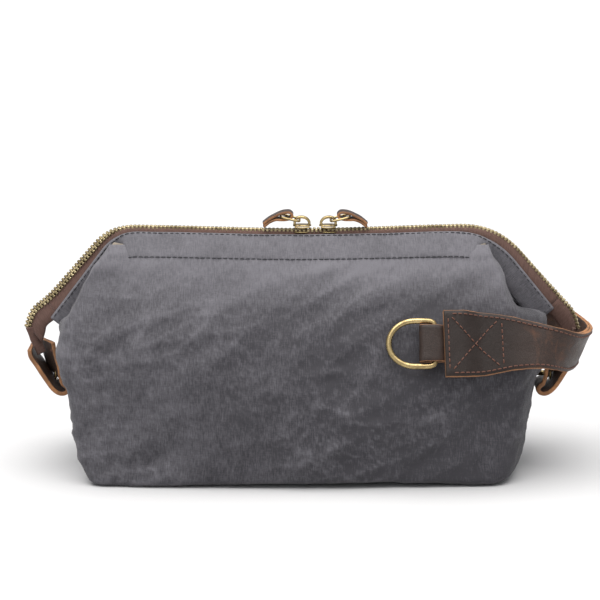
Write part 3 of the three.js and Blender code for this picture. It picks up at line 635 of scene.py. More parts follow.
def waxed_canvas():
    """Waxed cotton canvas: grey weave, darker where the wax lies thick, paler where folds have rubbed and
    where light is painted on, with painted shade in the weave's gaps.
    """
    colours = bpy.context.scene.bag_colours

    def fill(tree, shader):
        place = fabric_place(tree)
        weave = use(tree, weave_group(), Place=place, Pitch=0.00062)
        wax = use(tree, mottle_group(), Place=place, Size=0.034)
        # Point value that paints the canvas paler: wax worn off the fold crests, painted light on the top
        # band and the left side, and painted shade under the casing, on the upper end walls and along the
        # bottom.
        fold = tree.node("ShaderNodeAttribute", attribute_name="wear_and_painted_light").outputs["Fac"]
        tone = tree.ramp(weave["Slub"], 0.33, 0.68)
        fleck = tree.ramp(wax["Fleck"], 0.3, 0.7)
        tone = tree.math("MULTIPLY_ADD", fleck, 0.16, tree.math("MULTIPLY", tone, 0.46))
        tone = tree.math("MULTIPLY_ADD", tree.ramp(wax["Blotch"], 0.3, 0.72), 0.2, tone)
        tone = tree.math("MULTIPLY_ADD", wax["Scuff"], 0.10, tone)
        tone = tree.math("MULTIPLY_ADD", fold, 0.5, tone)
        tone = tree.math("SUBTRACT", tone, 0.4)
        dark = [c * 0.74 for c in colours.canvas]
        colour = tree.mix(tone, dark, colours.canvas_pale_wear_and_light)
        # Painted shade: the colour is darkened in the low places between the threads.
        gap = tree.ramp(weave["Relief"], 0.05, 0.5, 0.72, 1.0)
        shade = tree.node("ShaderNodeCombineXYZ", {0: gap, 1: gap, 2: gap}).outputs[0]
        colour = tree.mix(1.0, colour, shade, "MULTIPLY")
        tree.tree.links.new(colour, shader.inputs["Base Color"])
        tree.tree.links.new(tree.ramp(wax["Blotch"], 0.3, 0.7, 0.66, 0.86), shader.inputs["Roughness"])
        shader.inputs["Specular IOR Level"].default_value = 0.28
        shader.inputs["Sheen Weight"].default_value = 0.12
        shader.inputs["Sheen Roughness"].default_value = 0.45
        soft = bump(tree, None, wax["Fleck"], 0.0007, 0.5)
        bump(tree, shader, weave["Relief"], 0.00022, 0.8, soft)

    return material("Waxed canvas", fill)


def lining_cotton():
    """Plain cotton lining."""
    colours = bpy.context.scene.bag_colours

    def fill(tree, shader):
        place = fabric_place(tree)
        weave = use(tree, weave_group(), Place=place, Pitch=0.0004)
        soil = use(tree, mottle_group(), Place=place, Size=0.05)
        tone = tree.math("MULTIPLY_ADD", weave["Slub"], 0.6, tree.math("MULTIPLY", soil["Blotch"], 0.5))
        colour = tree.mix(tone, [c * 0.62 for c in colours.lining], [c * 1.15 for c in colours.lining])
        tree.tree.links.new(colour, shader.inputs["Base Color"])
        tree.tree.links.new(tree.ramp(soil["Fleck"], 0.2, 0.8, 0.8, 0.95), shader.inputs["Roughness"])
        shader.inputs["Specular IOR Level"].default_value = 0.2
        bump(tree, shader, weave["Relief"], 0.00015, 0.8)

    return material("Cotton lining", fill)


def zip_tape():
    """Herringbone-like woven zip tape."""
    colours = bpy.context.scene.bag_colours

    def fill(tree, shader):
        place = fabric_place(tree)
        weave = use(tree, weave_group(), Place=place, Pitch=0.00055)
        age = use(tree, mottle_group(), Place=place, Size=0.02)
        slub = tree.ramp(weave["Slub"], 0.3, 0.7)
        tone = tree.math("MULTIPLY_ADD", slub, 0.5, tree.math("MULTIPLY", age["Fleck"], 0.4))
        colour = tree.mix(tone, [c * 0.5 for c in colours.tape], [min(1, c * 1.5) for c in colours.tape])
        tree.tree.links.new(colour, shader.inputs["Base Color"])
        tree.tree.links.new(tree.ramp(age["Blotch"], 0.3, 0.7, 0.7, 0.85), shader.inputs["Roughness"])
        shader.inputs["Specular IOR Level"].default_value = 0.3
        shader.inputs["Sheen Weight"].default_value = 0.1
        bump(tree, shader, weave["Relief"], 0.0002, 0.9)

    return material("Zip tape", fill)


def oiled_leather():
    """Dark oiled leather with red-brown rubbed places, grain and light scratches."""
    colours = bpy.context.scene.bag_colours

    def fill(tree, shader):
        place = fabric_place(tree)
        grain = use(tree, grain_group(), Place=place, Size=0.0011)
        oil = use(tree, mottle_group(), Place=place, Size=0.022)
        worn = tree.math("MULTIPLY_ADD", oil["Scuff"], 0.3, tree.ramp(oil["Blotch"], 0.5, 0.75, 0.0, 0.6))
        worn = tree.math("MULTIPLY_ADD", tree.ramp(oil["Fleck"], 0.45, 0.75), 0.18, worn)
        scratch = tree.noise(tree.stretch(place, (0.9, 0.02, 1.0), 0.35), 900.0, 1.0, 0.5)
        scratch = tree.math("MULTIPLY", tree.ramp(scratch, 0.74, 0.8), 0.3)
        worn = tree.math("ADD", worn, scratch)
        fresh = tree.node("ShaderNodeAttribute", attribute_name="oiled").outputs["Fac"]
        worn = tree.math("MULTIPLY_ADD", fresh, -0.7, worn)
        colour = tree.mix(worn, colours.leather, colours.leather_rubbed)
        pore = tree.ramp(grain["Pebble"], 0.0, 1.0, 0.72, 1.0)
        pore = tree.math("MULTIPLY", pore, tree.math("MULTIPLY_ADD", fresh, -0.5, 1.0))
        shade = tree.node("ShaderNodeCombineXYZ", {0: pore, 1: pore, 2: pore}).outputs[0]
        colour = tree.mix(1.0, colour, shade, "MULTIPLY")
        tree.tree.links.new(colour, shader.inputs["Base Color"])
        tree.tree.links.new(tree.ramp(oil["Blotch"], 0.3, 0.7, 0.42, 0.62), shader.inputs["Roughness"])
        shader.inputs["Specular IOR Level"].default_value = 0.3
        soft = bump(tree, None, oil["Fleck"], 0.0006, 0.4)
        bump(tree, shader, grain["Relief"], 0.00018, 0.55, soft)

    return material("Oiled leather", fill)


def cut_leather():
    """The raw, fibrous edge of the leather."""
    colours = bpy.context.scene.bag_colours

    def fill(tree, shader):
        place = fabric_place(tree)
        grain = use(tree, grain_group(), Place=place, Size=0.0007)
        stain = use(tree, mottle_group(), Place=place, Size=0.012)
        blotch = tree.ramp(stain["Blotch"], 0.35, 0.7, 0.0, 0.55)
        tone = tree.math("MULTIPLY_ADD", grain["Pores"], 0.5, blotch)
        dark = [a * 0.55 + b * 0.2 for a, b in zip(colours.leather, colours.leather_edge)]
        colour = tree.mix(tone, dark, [min(1, c * 1.25) for c in colours.leather_edge])
        tree.tree.links.new(colour, shader.inputs["Base Color"])
        tree.tree.links.new(tree.ramp(stain["Fleck"], 0.3, 0.7, 0.62, 0.85), shader.inputs["Roughness"])
        bump(tree, shader, grain["Relief"], 0.0003, 0.9)

    return material("Cut leather edge", fill)


def metal(name, colour, dark, rough, tarnish):
    """Worn metal with tarnish in patches."""

    def fill(tree, shader):
        place = solid_place(tree)
        age = use(tree, mottle_group(), Place=place, Size=0.009)
        worn = tree.math("MULTIPLY_ADD", age["Fleck"], 0.5, tree.math("MULTIPLY", age["Blotch"], 0.8))
        shade = tree.ramp(worn, 0.45, 0.85, 0.0, tarnish)
        tree.tree.links.new(tree.mix(shade, colour, dark), shader.inputs["Base Color"])
        tree.tree.links.new(tree.ramp(worn, 0.4, 0.9, rough, rough + 0.22), shader.inputs["Roughness"])
        shader.inputs["Metallic"].default_value = 1.0
        bump(tree, shader, age["Fleck"], 0.00012, 0.3)

    return material(name, fill)


def antique_brass():
    """Antique brass, as on the D-ring, the sliders and the rivets."""
    colours = bpy.context.scene.bag_colours
    return metal("Antique brass", colours.brass, [c * 0.28 for c in colours.brass], 0.2, 0.7)


def tooth_brass():
    """The zip's brass, paler and brighter than the fittings."""
    colours = bpy.context.scene.bag_colours
    bright = [min(1.0, a * b) for a, b in zip(colours.brass, (0.98, 1.08, 1.35))]
    return metal("Tooth brass", bright, [c * 0.25 for c in colours.brass], 0.3, 0.8)


def spring_steel():
    """Drawn steel wire."""
    return metal("Spring steel", (0.55, 0.56, 0.57), (0.2, 0.2, 0.21), 0.3, 0.4)


def thread(name, colour):
    """Waxed sewing thread with its twist."""

    def fill(tree, shader):
        place = solid_place(tree)
        weave = use(tree, weave_group(), Place=place, Pitch=0.0003)
        tone = tree.ramp(weave["Slub"], 0.3, 0.7)
        tree.tree.links.new(
            tree.mix(tone, [c * 0.6 for c in colour], [min(1, c * 1.4) for c in colour]),
            shader.inputs["Base Color"],
        )
        shader.inputs["Roughness"].default_value = 0.6
        bump(tree, shader, weave["Relief"], 0.0001, 0.7)

    return material(name, fill)


def brown_thread():
    return thread("Brown thread", (0.13, 0.05, 0.03))


def grey_thread():
    return thread("Grey thread", (0.035, 0.034, 0.04))


def plain_dark(name, colour, rough):
    """A matt dark finish with slight unevenness."""

    def fill(tree, shader):
        age = use(tree, mottle_group(), Place=solid_place(tree), Size=0.02)
        tree.tree.links.new(
            tree.mix(age["Fleck"], [c * 0.6 for c in colour], [c * 1.5 for c in colour]),
            shader.inputs["Base Color"],
        )
        shader.inputs["Roughness"].default_value = rough
        bump(tree, shader, age["Fleck"], 0.0002, 0.4)

    return material(name, fill)


def needle_hole_shadow_finish():
    # Painted shadow: near-black finish of the beads standing in for the needle holes.
    return plain_dark("Needle hole shadow", (0.006, 0.004, 0.003), 0.9)


def stiff_board():
    return plain_dark("Stiffener board", (0.03, 0.028, 0.027), 0.7)


# ---------------------------------------------------------------- the canvas body
HEM_DROP = 1.2  # how far the zip line sags in the middle of the mouth
MOUTH_CORNER_X = 114.0  # where the mouth's top edge turns down into its two ends

DEPTH = through(
    (0.6, 60), (2.4, 63), (6, 64.4), (14, 65.5), (34, 66.3), (56, 64.4), (76, 59), (92, 51.5), (106, 40),
    (118, 30.5), (127, 24.4), (131, 21.3), (134.2, 18.2), (136, 15.6), (138, 12.6),
)
LEFT_RIDGE = through(
    (0.6, 125.5), (4.5, 130.5), (14, 134.3), (24, 136.3), (45.5, 140), (54, 141.5), (65.5, 146),
    (77, 148), (86, 146.5), (93.5, 143.5), (104, 139.5), (117, 134.5), (130, 123.5), (138, 117.5),
)
RIGHT_RIDGE = through(
    (0.6, 117.5), (5, 122), (12, 125), (31, 130.5), (55, 132.5), (70, 134.5), (86, 135.5),
    (99.4, 131), (106.6, 125.5), (110.6, 123.3), (116.6, 121.3), (124, 118.2), (130, 115.5), (138, 112.5),
)
RIDGE_DEPTH = through(
    (0.6, 0.93), (10, 0.87), (45, 0.78), (80, 0.79), (98, 0.86), (112, 0.92), (133, 0.97), (138, 1.0),
)
RIM_Z = 138
SIDE = through(
    (0.6, BASE_X - 2.5), (3, BASE_X + 1.5), (8, BASE_X + 4.7), (14, BASE_X + 7), (30, BASE_X + 10.8),
    (55, BASE_X + 16), (77, BASE_X + 20), (90, BASE_X + 20.5), (104, BASE_X + 20.5),
)
CASING_FOOT = through((94, 138), (100, 132), (106, 127), (112, 122), (120, 115), (130, 110), (138, 107.5))


def bezier(a, b, c, d, t):
    return a * (1 - t) ** 3 + 3 * b * t * (1 - t) ** 2 + 3 * c * t * t * (1 - t) + d * t**3


def gusset_slice(z, w, ridge, ridge_y, mirrored):
    """Half an end wall: w is 0 at the front's ridge and 1 at the middle of the end."""
    side = SIDE(z)
    low_x = bezier(ridge, side * 0.995 + 0 * z, side, side, w)
    low_y = bezier(ridge_y, ridge_y * 0.72, ridge_y * 0.3, 0 * z, w)
    foot = CASING_FOOT(z)
    high_x = bezier(ridge, ridge + 2.5, np.minimum(ridge, foot + 3) + 1, foot, w)
    high_y = bezier(ridge_y, ridge_y * 0.62, 9 + 0 * z, 7.5 + 0 * z, w)
    roll = np.exp(-(((w - 0.2) / 0.1) ** 2)) * (2.4 if mirrored else 1.5)
    roll = roll * step(99, 106, z) * (1 - step(124, 134, z))
    high_x = high_x + roll
    fold = 106 - 9 * w - (2.0 if mirrored else 6.0)
    blend = step(fold - 3, fold + 3.5, z)
    return low_x + (high_x - low_x) * blend, low_y + (high_y - low_y) * blend


def canvas_rows(gap):
    """Heights of the canvas rows, evenly spaced along the front's profile."""
    z = np.linspace(0.6, RIM_Z, 600)
    return evenly(np.stack([DEPTH(z), z], 1), gap=gap)[:, 1]


def smooth_shell(face, gap):
    """The canvas half without its wrinkles: rows upward, columns from the left end to the right."""
    z = canvas_rows(gap)[:, None]
    depth = DEPTH(z)
    left, right = LEFT_RIDGE(z), RIGHT_RIDGE(z)
    ridge_y = depth * RIDGE_DEPTH(z)
    w = ((np.arange(34) + 0.5) / 34)[None, :]
    w = np.concatenate([w, [[1.0]]], 1)
    left_x, left_y = gusset_slice(z, w[:, ::-1], left, ridge_y, False)
    right_x, right_y = gusset_slice(z, w, right, ridge_y, True)
    s = np.linspace(-1, 1, 2 * int(130 / gap / 1.05))[None, :]
    front_x = np.where(s < 0, s * left, s * right)
    bow = (1 - np.abs(s) ** (2.6 + 1.6 * step(90, 130, z)))
    front_y = ridge_y + (depth - ridge_y) * bow
    x = np.concatenate([-left_x, front_x, right_x], 1)
    y = np.concatenate([left_y, front_y, right_y], 1)
    grid = np.stack([x, y, np.broadcast_to(z, x.shape)], 2)
    soft = 0.5 * (1 - 0.93 * step(84, 104, z))[..., None] + 0 * grid[:, 1:-1]
    for turn in range(26):
        blend = (grid[:, 2:] + grid[:, :-2]) / 2
        strength = soft if turn > 2 else np.maximum(soft, 0.35)
        grid[:, 1:-1] += (blend - grid[:, 1:-1]) * strength
    grid[:, :, 2] += base_arch(grid[:, :, 0], face) * (1 - step(0, 26, grid[:, :, 2]))
    corner = ease(np.abs(grid[:, :, 0]) / MOUTH_CORNER_X) * step(110, 132, grid[:, :, 2])
    grid[:, :, 2] += 1.6 * HEM_DROP * corner
    grid[:, :, 1] *= face
    if face == BACK:
        grid = grid[:, ::-1]
    return grid


def base_arch(x, face):
    """How far the bottom edge lifts off the ground, a little more on the right."""
    return 2.2 * step(-100, -5, x) * (1 - 0.6 * step(40, 115, x)) + (0.3 if face == BACK else 0)


def wrinkles(grid, face, sizes):
    """Height of the folds at each point, and how pale each is painted: wax worn off the fold crests, with
    painted light and painted shade.
    """
    u = arc_rows(grid)
    u = u - u[:, u.shape[1] // 2][:, None]
    if face == BACK:
        u = -u
    v = np.broadcast_to(arc(grid[:, grid.shape[1] // 2])[:, None], u.shape)
    seed = 11 if face == FRONT else 57
    z = grid[:, :, 2]
    x = grid[:, :, 0]
    held = (1 - step(122, 133, z)) * (0.35 + 0.65 * step(2, 20, z))
    broad = slanted(u, v, 30, 92, 44, seed) * 3.0
    drag = slanted(u, v, 34, 74, 19, seed + 1)
    drag2 = slanted(u, v, 12, 58, 15, seed + 2)
    ridge1 = (1 - 2.2 * np.abs(drag)).clip(-1, 1)
    ridge2 = (1 - 2.4 * np.abs(drag2)).clip(-1, 1)
    where = 0.35 + 0.65 * step(-0.25, 0.5, perlin(u / 70 + 3, v / 60, seed + 3))
    small = 1 - 2.6 * np.abs(slanted(u, v, 50, 17, 8, seed + 4))
    small2 = 1 - 2.4 * np.abs(slanted(u, v, -18, 15, 7.5, seed + 5))
    low = 1 - step(60, 110, z)
    corner = step(70, 120, np.abs(x)) * low
    height = held * (broad + sizes.drag_folds * where * (0.75 * ridge1 + 0.45 * ridge2 * (0.5 + low)))
    height += held * sizes.crumple * (0.55 * small + 0.45 * small2) * (0.45 + 0.75 * low + 0.5 * corner)
    height += 0.16 * perlin(u / 3.1, v / 3.6, seed + 6) * held
    pucker = np.exp(-(((z - 129.5) / 4.0) ** 2))
    height += pucker * 0.45 * perlin(u / 5.5, v / 9, seed + 7)
    wear_and_painted_light = where * (0.5 * step(0.72, 1.0, ridge1) + 0.4 * step(0.72, 1.0, ridge2))
    wear_and_painted_light = wear_and_painted_light + 0.42 * step(0.68, 1.0, small) * (0.4 + low) * where
    wear_and_painted_light = wear_and_painted_light + 0.35 * step(0.7, 1.0, small2) * low * where
    column = np.arange(grid.shape[1])
    # Painted light: from about 100 mm up, where the canvas faces the overhead light, it is painted paler;
    # painted shade: the end walls' upper parts under the casing are kept darker.
    end_wall_painted_shade = (1 - step(18, 36, np.minimum(column, column[::-1])))[None, :] * step(98, 106, z)
    wear_and_painted_light = wear_and_painted_light + 1.75 * step(100, 130, z) * (1 - 0.85 * end_wall_painted_shade) - 0.35 * end_wall_painted_shade
    # Painted light: the left side is painted paler, as if more light falls on it from the left.
    wear_and_painted_light = wear_and_painted_light + 0.5 * (1 - step(-130, 60, x)) * (1 - step(104, 122, z))
    wear_and_painted_light = wear_and_painted_light + 0.3 * slanted(u, v, 33, 70, 24, seed + 8) + 0.12 * slanted(u, v, 40, 30, 9, seed + 9)
    # Painted shade: a darker line just under the casing's foot, and darker along the bottom 5 mm where the
    # wall meets the floor.
    wear_and_painted_light = wear_and_painted_light - 0.3 * np.exp(-(((z - 133.5) / 1.6) ** 2)) - 0.25 * (1 - step(0, 5, z))
    return height, np.clip(wear_and_painted_light, -0.5, 2.4)


SHELLS = {}


def shell(face, gap):
    """The wrinkled canvas half, its values of wear and painted light and shade, and its outward normals, made
    once.
    """
    if (face, gap) not in SHELLS:
        grid = smooth_shell(face, gap)
        height, wear_and_painted_light = wrinkles(grid, face, bpy.context.scene.bag_sizes)
        normals = grid_normals(grid)
        normals = normals * np.sign(np.sum(normals * unit(grid * [0.6, 1, 0]), axis=2, keepdims=True))
        edge = np.minimum(np.arange(grid.shape[1]), np.arange(grid.shape[1])[::-1])[None, :, None]
        fade = step(0, 8, edge) * (1 - handle_press(grid))[..., None]
        folded = grid + normals * height[..., None] * fade
        folded[:, :, 2] = np.maximum(folded[:, :, 2], 0.3)
        SHELLS[face, gap] = (folded, wear_and_painted_light, normals)
    return SHELLS[face, gap]


def handle_press(grid):
    """1 where the handle's ends, the D-ring's loop or the end tabs hold the canvas flat, fading to 0."""
    x, z = grid[:, :, 0], grid[:, :, 2]
    start = cad_box("handle_strap_outer")[0][0] - 12
    inside = step(start - 12, start + 2, x) * (1 - step(128, 142, x))
    return 0.8 * inside * step(62, 74, z) * (1 - step(104, 114, z))


NAME_OF = {FRONT: "front", BACK: "back"}


def bend_with_mouth(piece):
    """Bakes the piece's placement into its mesh points."""
    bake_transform(piece)


class BAG_OT_canvas(bpy.types.Operator):
    """Make the two canvas halves, the lining inside them and the base"""

    bl_idname = "bag.canvas"
    bl_label = "Canvas body"

    def execute(self, context):
        sizes = context.scene.bag_sizes
        canvas, lining = waxed_canvas(), lining_cotton()
        for face in (FRONT, BACK):
            name = NAME_OF[face]
            grid, wear_and_painted_light, _ = shell(face, sizes.row_step)
            outer = cloth(f"{name}_canvas", grid, sizes.canvas_thick, [canvas] * 3, {"wear_and_painted_light": wear_and_painted_light})
            replaced = [f"{name}_panel", f"{name}_mouth_panel"]
            replaced += [f"{side}_{name}_gusset_fold" for side in ("left", "right")]
            replaced += [("left" if face == FRONT else "right") + "_gusset"]
            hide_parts(*replaced)
            bend_with_mouth(outer)
            inner, normals = shell(face, 3.0)[::2]
            slack = 2.6 + 0.3 * perlin(inner[:, :, 0] / 14, inner[:, :, 2] / 14, 5)
            inner = inner - normals * slack[..., None]
            inner[:, :, 2] = np.maximum(inner[:, :, 2], 6.0)
            inner[:, :, 1] = face * np.maximum(inner[:, :, 1] * face, 0.0)
            bag = cloth(f"{name}_lining", inner, 0.6, [lining, lining, lining])
            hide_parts("lining")
            bend_with_mouth(bag)
        self.base(canvas, lining)
        self.board()
        self.lining_floor(lining)
        return {"FINISHED"}

    def lining_floor(self, lining):
        """The lining's bottom, over the stiffener board."""
        flat = self.outline()[:, :2] * [0.975, 0.95]
        rows = []
        for share in np.linspace(0.03, 1, 20):
            ring = flat * share
            lift = 5.4 + base_arch(ring[:, 0], FRONT) + 0.5 * perlin(ring[:, 0] / 25, ring[:, 1] / 25, 9)
            rows.append(np.column_stack([ring, lift + 3.5 * share**16]))
        grid = np.array(rows)
        grid = np.concatenate([grid, grid[:, :1]], 1)
        floor = cloth("floor_lining", grid, 0.6, [lining] * 3)
        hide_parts("lining")
        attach(floor, "bag_body")

    def outline(self, gap=3.0):
        """The walls' lower edge, once round the bag."""
        front, back = (smooth_shell(face, gap)[0] for face in (FRONT, BACK))
        return evenly(np.vstack([front, back, front[:1]]), count=161)[:-1]

    def board(self):
        """The stiffener between the base canvas and the lining."""
        edge = self.outline()
        flat = edge[:, :2] * [0.955, 0.91]
        lift = base_arch(flat[:, 0], FRONT)
        rings = [np.column_stack([flat * share, lift * rise + up]) for share, rise, up in (
            (0.02, 1, 2.2), (0.994, 1, 2.2), (1.0, 1, 2.6), (1.0, 1, 3.8), (0.994, 1, 4.2), (0.02, 1, 4.2))]
        grid = np.array(rings)
        rows, cols = grid.shape[:2]
        faces = grid_faces(rows, cols, False, True)
        faces += [tuple(range(cols))[::-1], tuple(range((rows - 1) * cols, rows * cols))]
        points = grid.reshape(-1, 3)
        piece = make_mesh("stiffener_sheet", points, faces, materials=[stiff_board()], smooth=False)
        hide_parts("base_board")
        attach(piece, "bag_body")

    def base(self, canvas, lining):
        """The bottom panel, cut to the walls' lower edge and turned up a little inside them."""
        edge = self.outline()
        rows = []
        for share in np.linspace(1, 0.02, 30) ** 0.8:
            flat = edge[:, :2] * share * [0.988, 0.978]
            lift = edge[:, 2] * share**6 + 0.9 * (1 - share**6) + 0.9 * base_arch(flat[:, 0], FRONT)
            lift = lift + 0.3 * perlin(flat[:, 0] / 22, flat[:, 1] / 22, 3) * (1 - share)
            rows.append(np.column_stack([flat, np.maximum(lift, 0.4)]))
        grid = np.array(rows)
        low = grid.reshape(-1, 3)
        high = low + [0, 0, 1.4]
        count, cols = len(low), grid.shape[1]
        bottom = grid_faces(len(rows), cols, False, True)
        faces = bottom + [tuple(i + count for i in f[::-1]) for f in bottom]
        for a in range(cols):
            b = (a + 1) % cols
            faces.append((b, a, a + count, b + count))
            end = count - cols
            faces.append((a + end, b + end, b + end + count, a + end + count))
        kinds = [0] * len(bottom) + [1] * len(bottom) + [0] * (2 * cols)
        uv = np.vstack([low[:, :2], low[:, :2]])
        piece = make_mesh("base_canvas", np.vstack([low, high]), faces, uv, [canvas, lining], kinds,
                          {"wear_and_painted_light": np.full(2 * count, 0.3)})
        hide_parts("bottom_panel")
        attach(piece, "bag_body")


# ---------------------------------------------------------------- hems with the wire inside
LEG_NARROWER = 5.0  # how much less deep the casing is along its slopes than along the top


def hem_line(gap=1.5):
    """The hem's top edge from the left leg end to the right one, in the plane of the mouth."""
    left, right = (-FOLD_X - 4.0, FOLD_Z - 5.0), (FOLD_X + 3.0, FOLD_Z + 1.0)
    corner_l, corner_r = (-MOUTH_CORNER_X - 1.0, MOUTH_Z + 1.0), (MOUTH_CORNER_X + 1.5, MOUTH_Z + 1.4)
    flat = rounded([left, corner_l, corner_r, right], [14, 24], 16)
    flat = evenly(flat, gap=gap)
    sag = HEM_DROP * (1 - ease(np.abs(flat[:, 0]) / MOUTH_CORNER_X)) * 1.6
    return flat - np.stack([0 * sag, sag], 1)


def hem_frames(face, gap=1.5):
    """The hem's edge line, the direction down its front face and the outward direction."""
    flat = hem_line(gap)
    line = np.stack([flat[:, 0], np.full(len(flat), 5.2 * face), flat[:, 1]], 1)
    along = tangents(line)
    down = np.stack([along[:, 2], 0 * along[:, 0], -along[:, 0]], 1)
    down = down * np.sign(-down[:, 2:3] + 1e-9)
    slope = step(0.25, 0.62, np.abs(along[:, 2]))
    tilt = np.radians(50 - 42 * slope)[:, None]
    inward = down * np.cos(tilt) + Y * face * np.sin(tilt)
    out = unit(np.cross(along, inward))
    out = out * np.sign(out[:, 1:2] * face)
    return line, along, inward, out


def hem(face):
    """The casing: a folded strip that is fat at the wire and flat at its stitched foot."""
    sizes = bpy.context.scene.bag_sizes
    line, along, inward, out = hem_frames(face)
    s = arc(line)
    depth = sizes.hem_depth
    narrow = step(0.25, 0.62, np.abs(along[:, 2]))
    profile = [
        (1.0, -0.35), (0.965, 0.15), (0.9, 0.65), (0.75, 1.1), (0.6, 1.3), (0.42, 1.45), (0.26, 1.6),
        (0.14, 1.75), (0.07, 1.6), (0.027, 0.95), (0.0, -0.1), (0.01, -1.3), (0.04, -2.4),
        (0.1, -3.0), (0.18, -3.1), (0.3, -2.7), (0.45, -2.2), (0.66, -1.9), (0.88, -1.8), (1.0, -1.5),
    ]
    rows = []
    for i, p in enumerate(line):
        swell = 1 + 0.22 * perlin(np.array(s[i] / 17), np.array(0.5 + face), 31)
        ring = []
        for w, o in profile:
            wave = 0.35 * perlin(np.array(s[i] / 7), np.array(w * 2.2 + face), 33) * (w > 0.1) * (o > 0)
            deep = depth - LEG_NARROWER * narrow[i]
            ring.append(p + inward[i] * w * deep + out[i] * (o * swell + wave))
        rows.append(ring)
    grid = np.array(rows)
    rows, cols = grid.shape[:2]
    faces = grid_faces(rows, cols, False, True)
    if face == FRONT:
        faces = [f[::-1] for f in faces]
    faces += [tuple(range(cols)), tuple(range((rows - 1) * cols, rows * cols))[::-1]]
    down = np.array([w for w, _ in profile]) * depth
    uv = np.stack([np.repeat(s, cols), np.tile(down + (np.arange(cols) > 10) * 30, rows)], 1)
    # Painted light: the casing's outer face is painted paler, most towards its upward-facing top edge, and
    # its inner face darker.
    casing_painted_light = np.array([0.9, 1.3, 1.45, 1.4, 1.35, 1.35, 1.4, 1.45, 1.6, 1.6] + [0.3] * 10)
    patchy = perlin(np.repeat(s[:, None] / 24, cols, 1), np.tile(down / 12, (rows, 1)), 35)
    wear_and_painted_light = casing_painted_light[None, :] + 0.25 * patchy
    return grid, faces, uv, wear_and_painted_light


def on_hem(face, share, lift=1.55, gap=1.5):
    """A line on the hem's front face at this share of its depth, with its normals."""
    line, along, inward, out = hem_frames(face, gap)
    depth = bpy.context.scene.bag_sizes.hem_depth - LEG_NARROWER * step(0.25, 0.62, np.abs(along[:, 2:]))
    return line + inward * share * depth + out * lift, out


class BAG_OT_hems(bpy.types.Operator):
    """Make the mouth's two casings, with their stitching and the wires inside"""

    bl_idname = "bag.hems"
    bl_label = "Mouth casings"

    def execute(self, context):
        depth = context.scene.bag_sizes.hem_depth
        for face in (FRONT, BACK):
            name = NAME_OF[face]
            grid, faces, uv, wear_and_painted_light = hem(face)
            piece = make_mesh(f"{name}_casing", grid.reshape(-1, 3), faces, uv, [waxed_canvas()],
                              values={"wear_and_painted_light": wear_and_painted_light.ravel()})
            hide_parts(f"{name}_hem")
            bend_with_mouth(piece)
            rows = [on_hem(face, 2.2 / depth, 1.75), on_hem(face, 0.965, 0.25)]
            for end in (0, -1):
                line, along, inward, out = hem_frames(face)
                inset = along[end] * (2.2 if end == 0 else -2.2)
                p = line[end] + inset + inward[end] * np.linspace(2.5, depth - 7, 8)[:, None] + out[end] * 1.5
                rows.append((p, np.broadcast_to(out[end], p.shape)))
            seam = stitched(f"{name}_casing_stitches", rows, None, grey_thread(), 3.4, 2.5, 0.3)
            bend_with_mouth(seam)
            self.wire_bow(face)
        return {"FINISHED"}

    def wire_bow(self, face):
        """The spring wire that keeps the mouth's shape, inside its casing."""
        line, _, inward, out = hem_frames(face)
        parts = wire((line + inward * 2.3 - out * 0.7)[2:-2], 1.1, X + 0.3 * Y)
        steel = make_mesh(f"{NAME_OF[face]}_spring_wire", *parts[:3], [spring_steel()], parts[3])
        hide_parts(f"{NAME_OF[face]}_wire_bow")
        bend_with_mouth(steel)


# ---------------------------------------------------------------- the zip
TAIL_STEPS = ((15.5, -4.0), (19.0, -15.0))  # middle and end of each tail, out and up from the leg end


def chain_line(gap=1.25):
    """The zip's middle line, from the left tail's end over the mouth to the right tail's end, in x and z."""
    end_x, end_z = FOLD_X, FOLD_Z + 2
    tail = [(end_x + out, end_z + up) for out, up in TAIL_STEPS]
    left = [(117.0, CHAIN_Z + 0.7), (end_x + 4, end_z + 4.8), *tail]
    right = [(119.0, CHAIN_Z + 1.4), (end_x + 6, end_z + 6), *tail]
    points = [(-x, z) for x, z in left[::-1]] + right
    line = evenly(rounded(points, [5, 7.5, 14, 22, 7.5, 5], 12), gap=gap)
    sag = HEM_DROP * (1 - ease(np.abs(line[:, 0]) / MOUTH_CORNER_X)) * 2
    return line - np.stack([0 * sag, sag], 1)


def chain_frames(gap=1.25):
    """The zip's middle line, its direction, the way from front row to back row, and its upper side."""
    flat = chain_line(gap)
    line = np.stack([flat[:, 0], 0 * flat[:, 0], flat[:, 1]], 1)
    along = tangents(line)
    up = np.stack([-along[:, 2], 0 * along[:, 0], along[:, 0]], 1)
    twist = np.radians(64) * (1 - step(-132, -106, line[:, 0])) + np.radians(12) * step(140, 160, line[:, 0])
    twist = twist[:, None]
    across = np.cos(twist) * Y + np.sin(twist) * up
    top = np.cos(twist) * up - np.sin(twist) * Y
    return line, along, across, top


TOOTH = (  # distance out from the middle line, half width along the chain, half height
    (-0.7, 0.45, 0.7), (-0.35, 0.6, 0.95), (0.45, 0.6, 1.0), (0.9, 0.55, 1.0), (1.35, 0.8, 1.05),
    (2.0, 0.84, 1.0), (2.35, 0.64, 0.7),
)


def tooth(at, along, away, top):
    """One tooth: a chamfered bar whose head narrows at its neck."""
    rings = []
    for reach, half, high in TOOTH:
        cut = 0.28
        outline = [(-half + cut, high), (half - cut, high), (half, high - cut), (half, -high + cut),
                   (half - cut, -high), (-half + cut, -high), (-half, -high + cut), (-half, high - cut)]
        rings.append([at + away * reach + along * a + top * b for a, b in outline])
    grid = np.array(rings)
    rows, cols = grid.shape[:2]
    faces = grid_faces(rows, cols, False, True)
    faces += [tuple(range(cols))[::-1], tuple(range((rows - 1) * cols, rows * cols))]
    return grid.reshape(-1, 3), faces, np.zeros((rows * cols, 2)), [0] * len(faces)


def parted(x):
    """How far each row stands off the middle line under the two sliders."""
    low, _ = cad_box("left_slider")
    _, high = cad_box("right_slider")
    middle = (low[0] + high[0]) / 2
    return 1.5 * (1 - step(4.5, 9.5, np.abs(x - middle)))


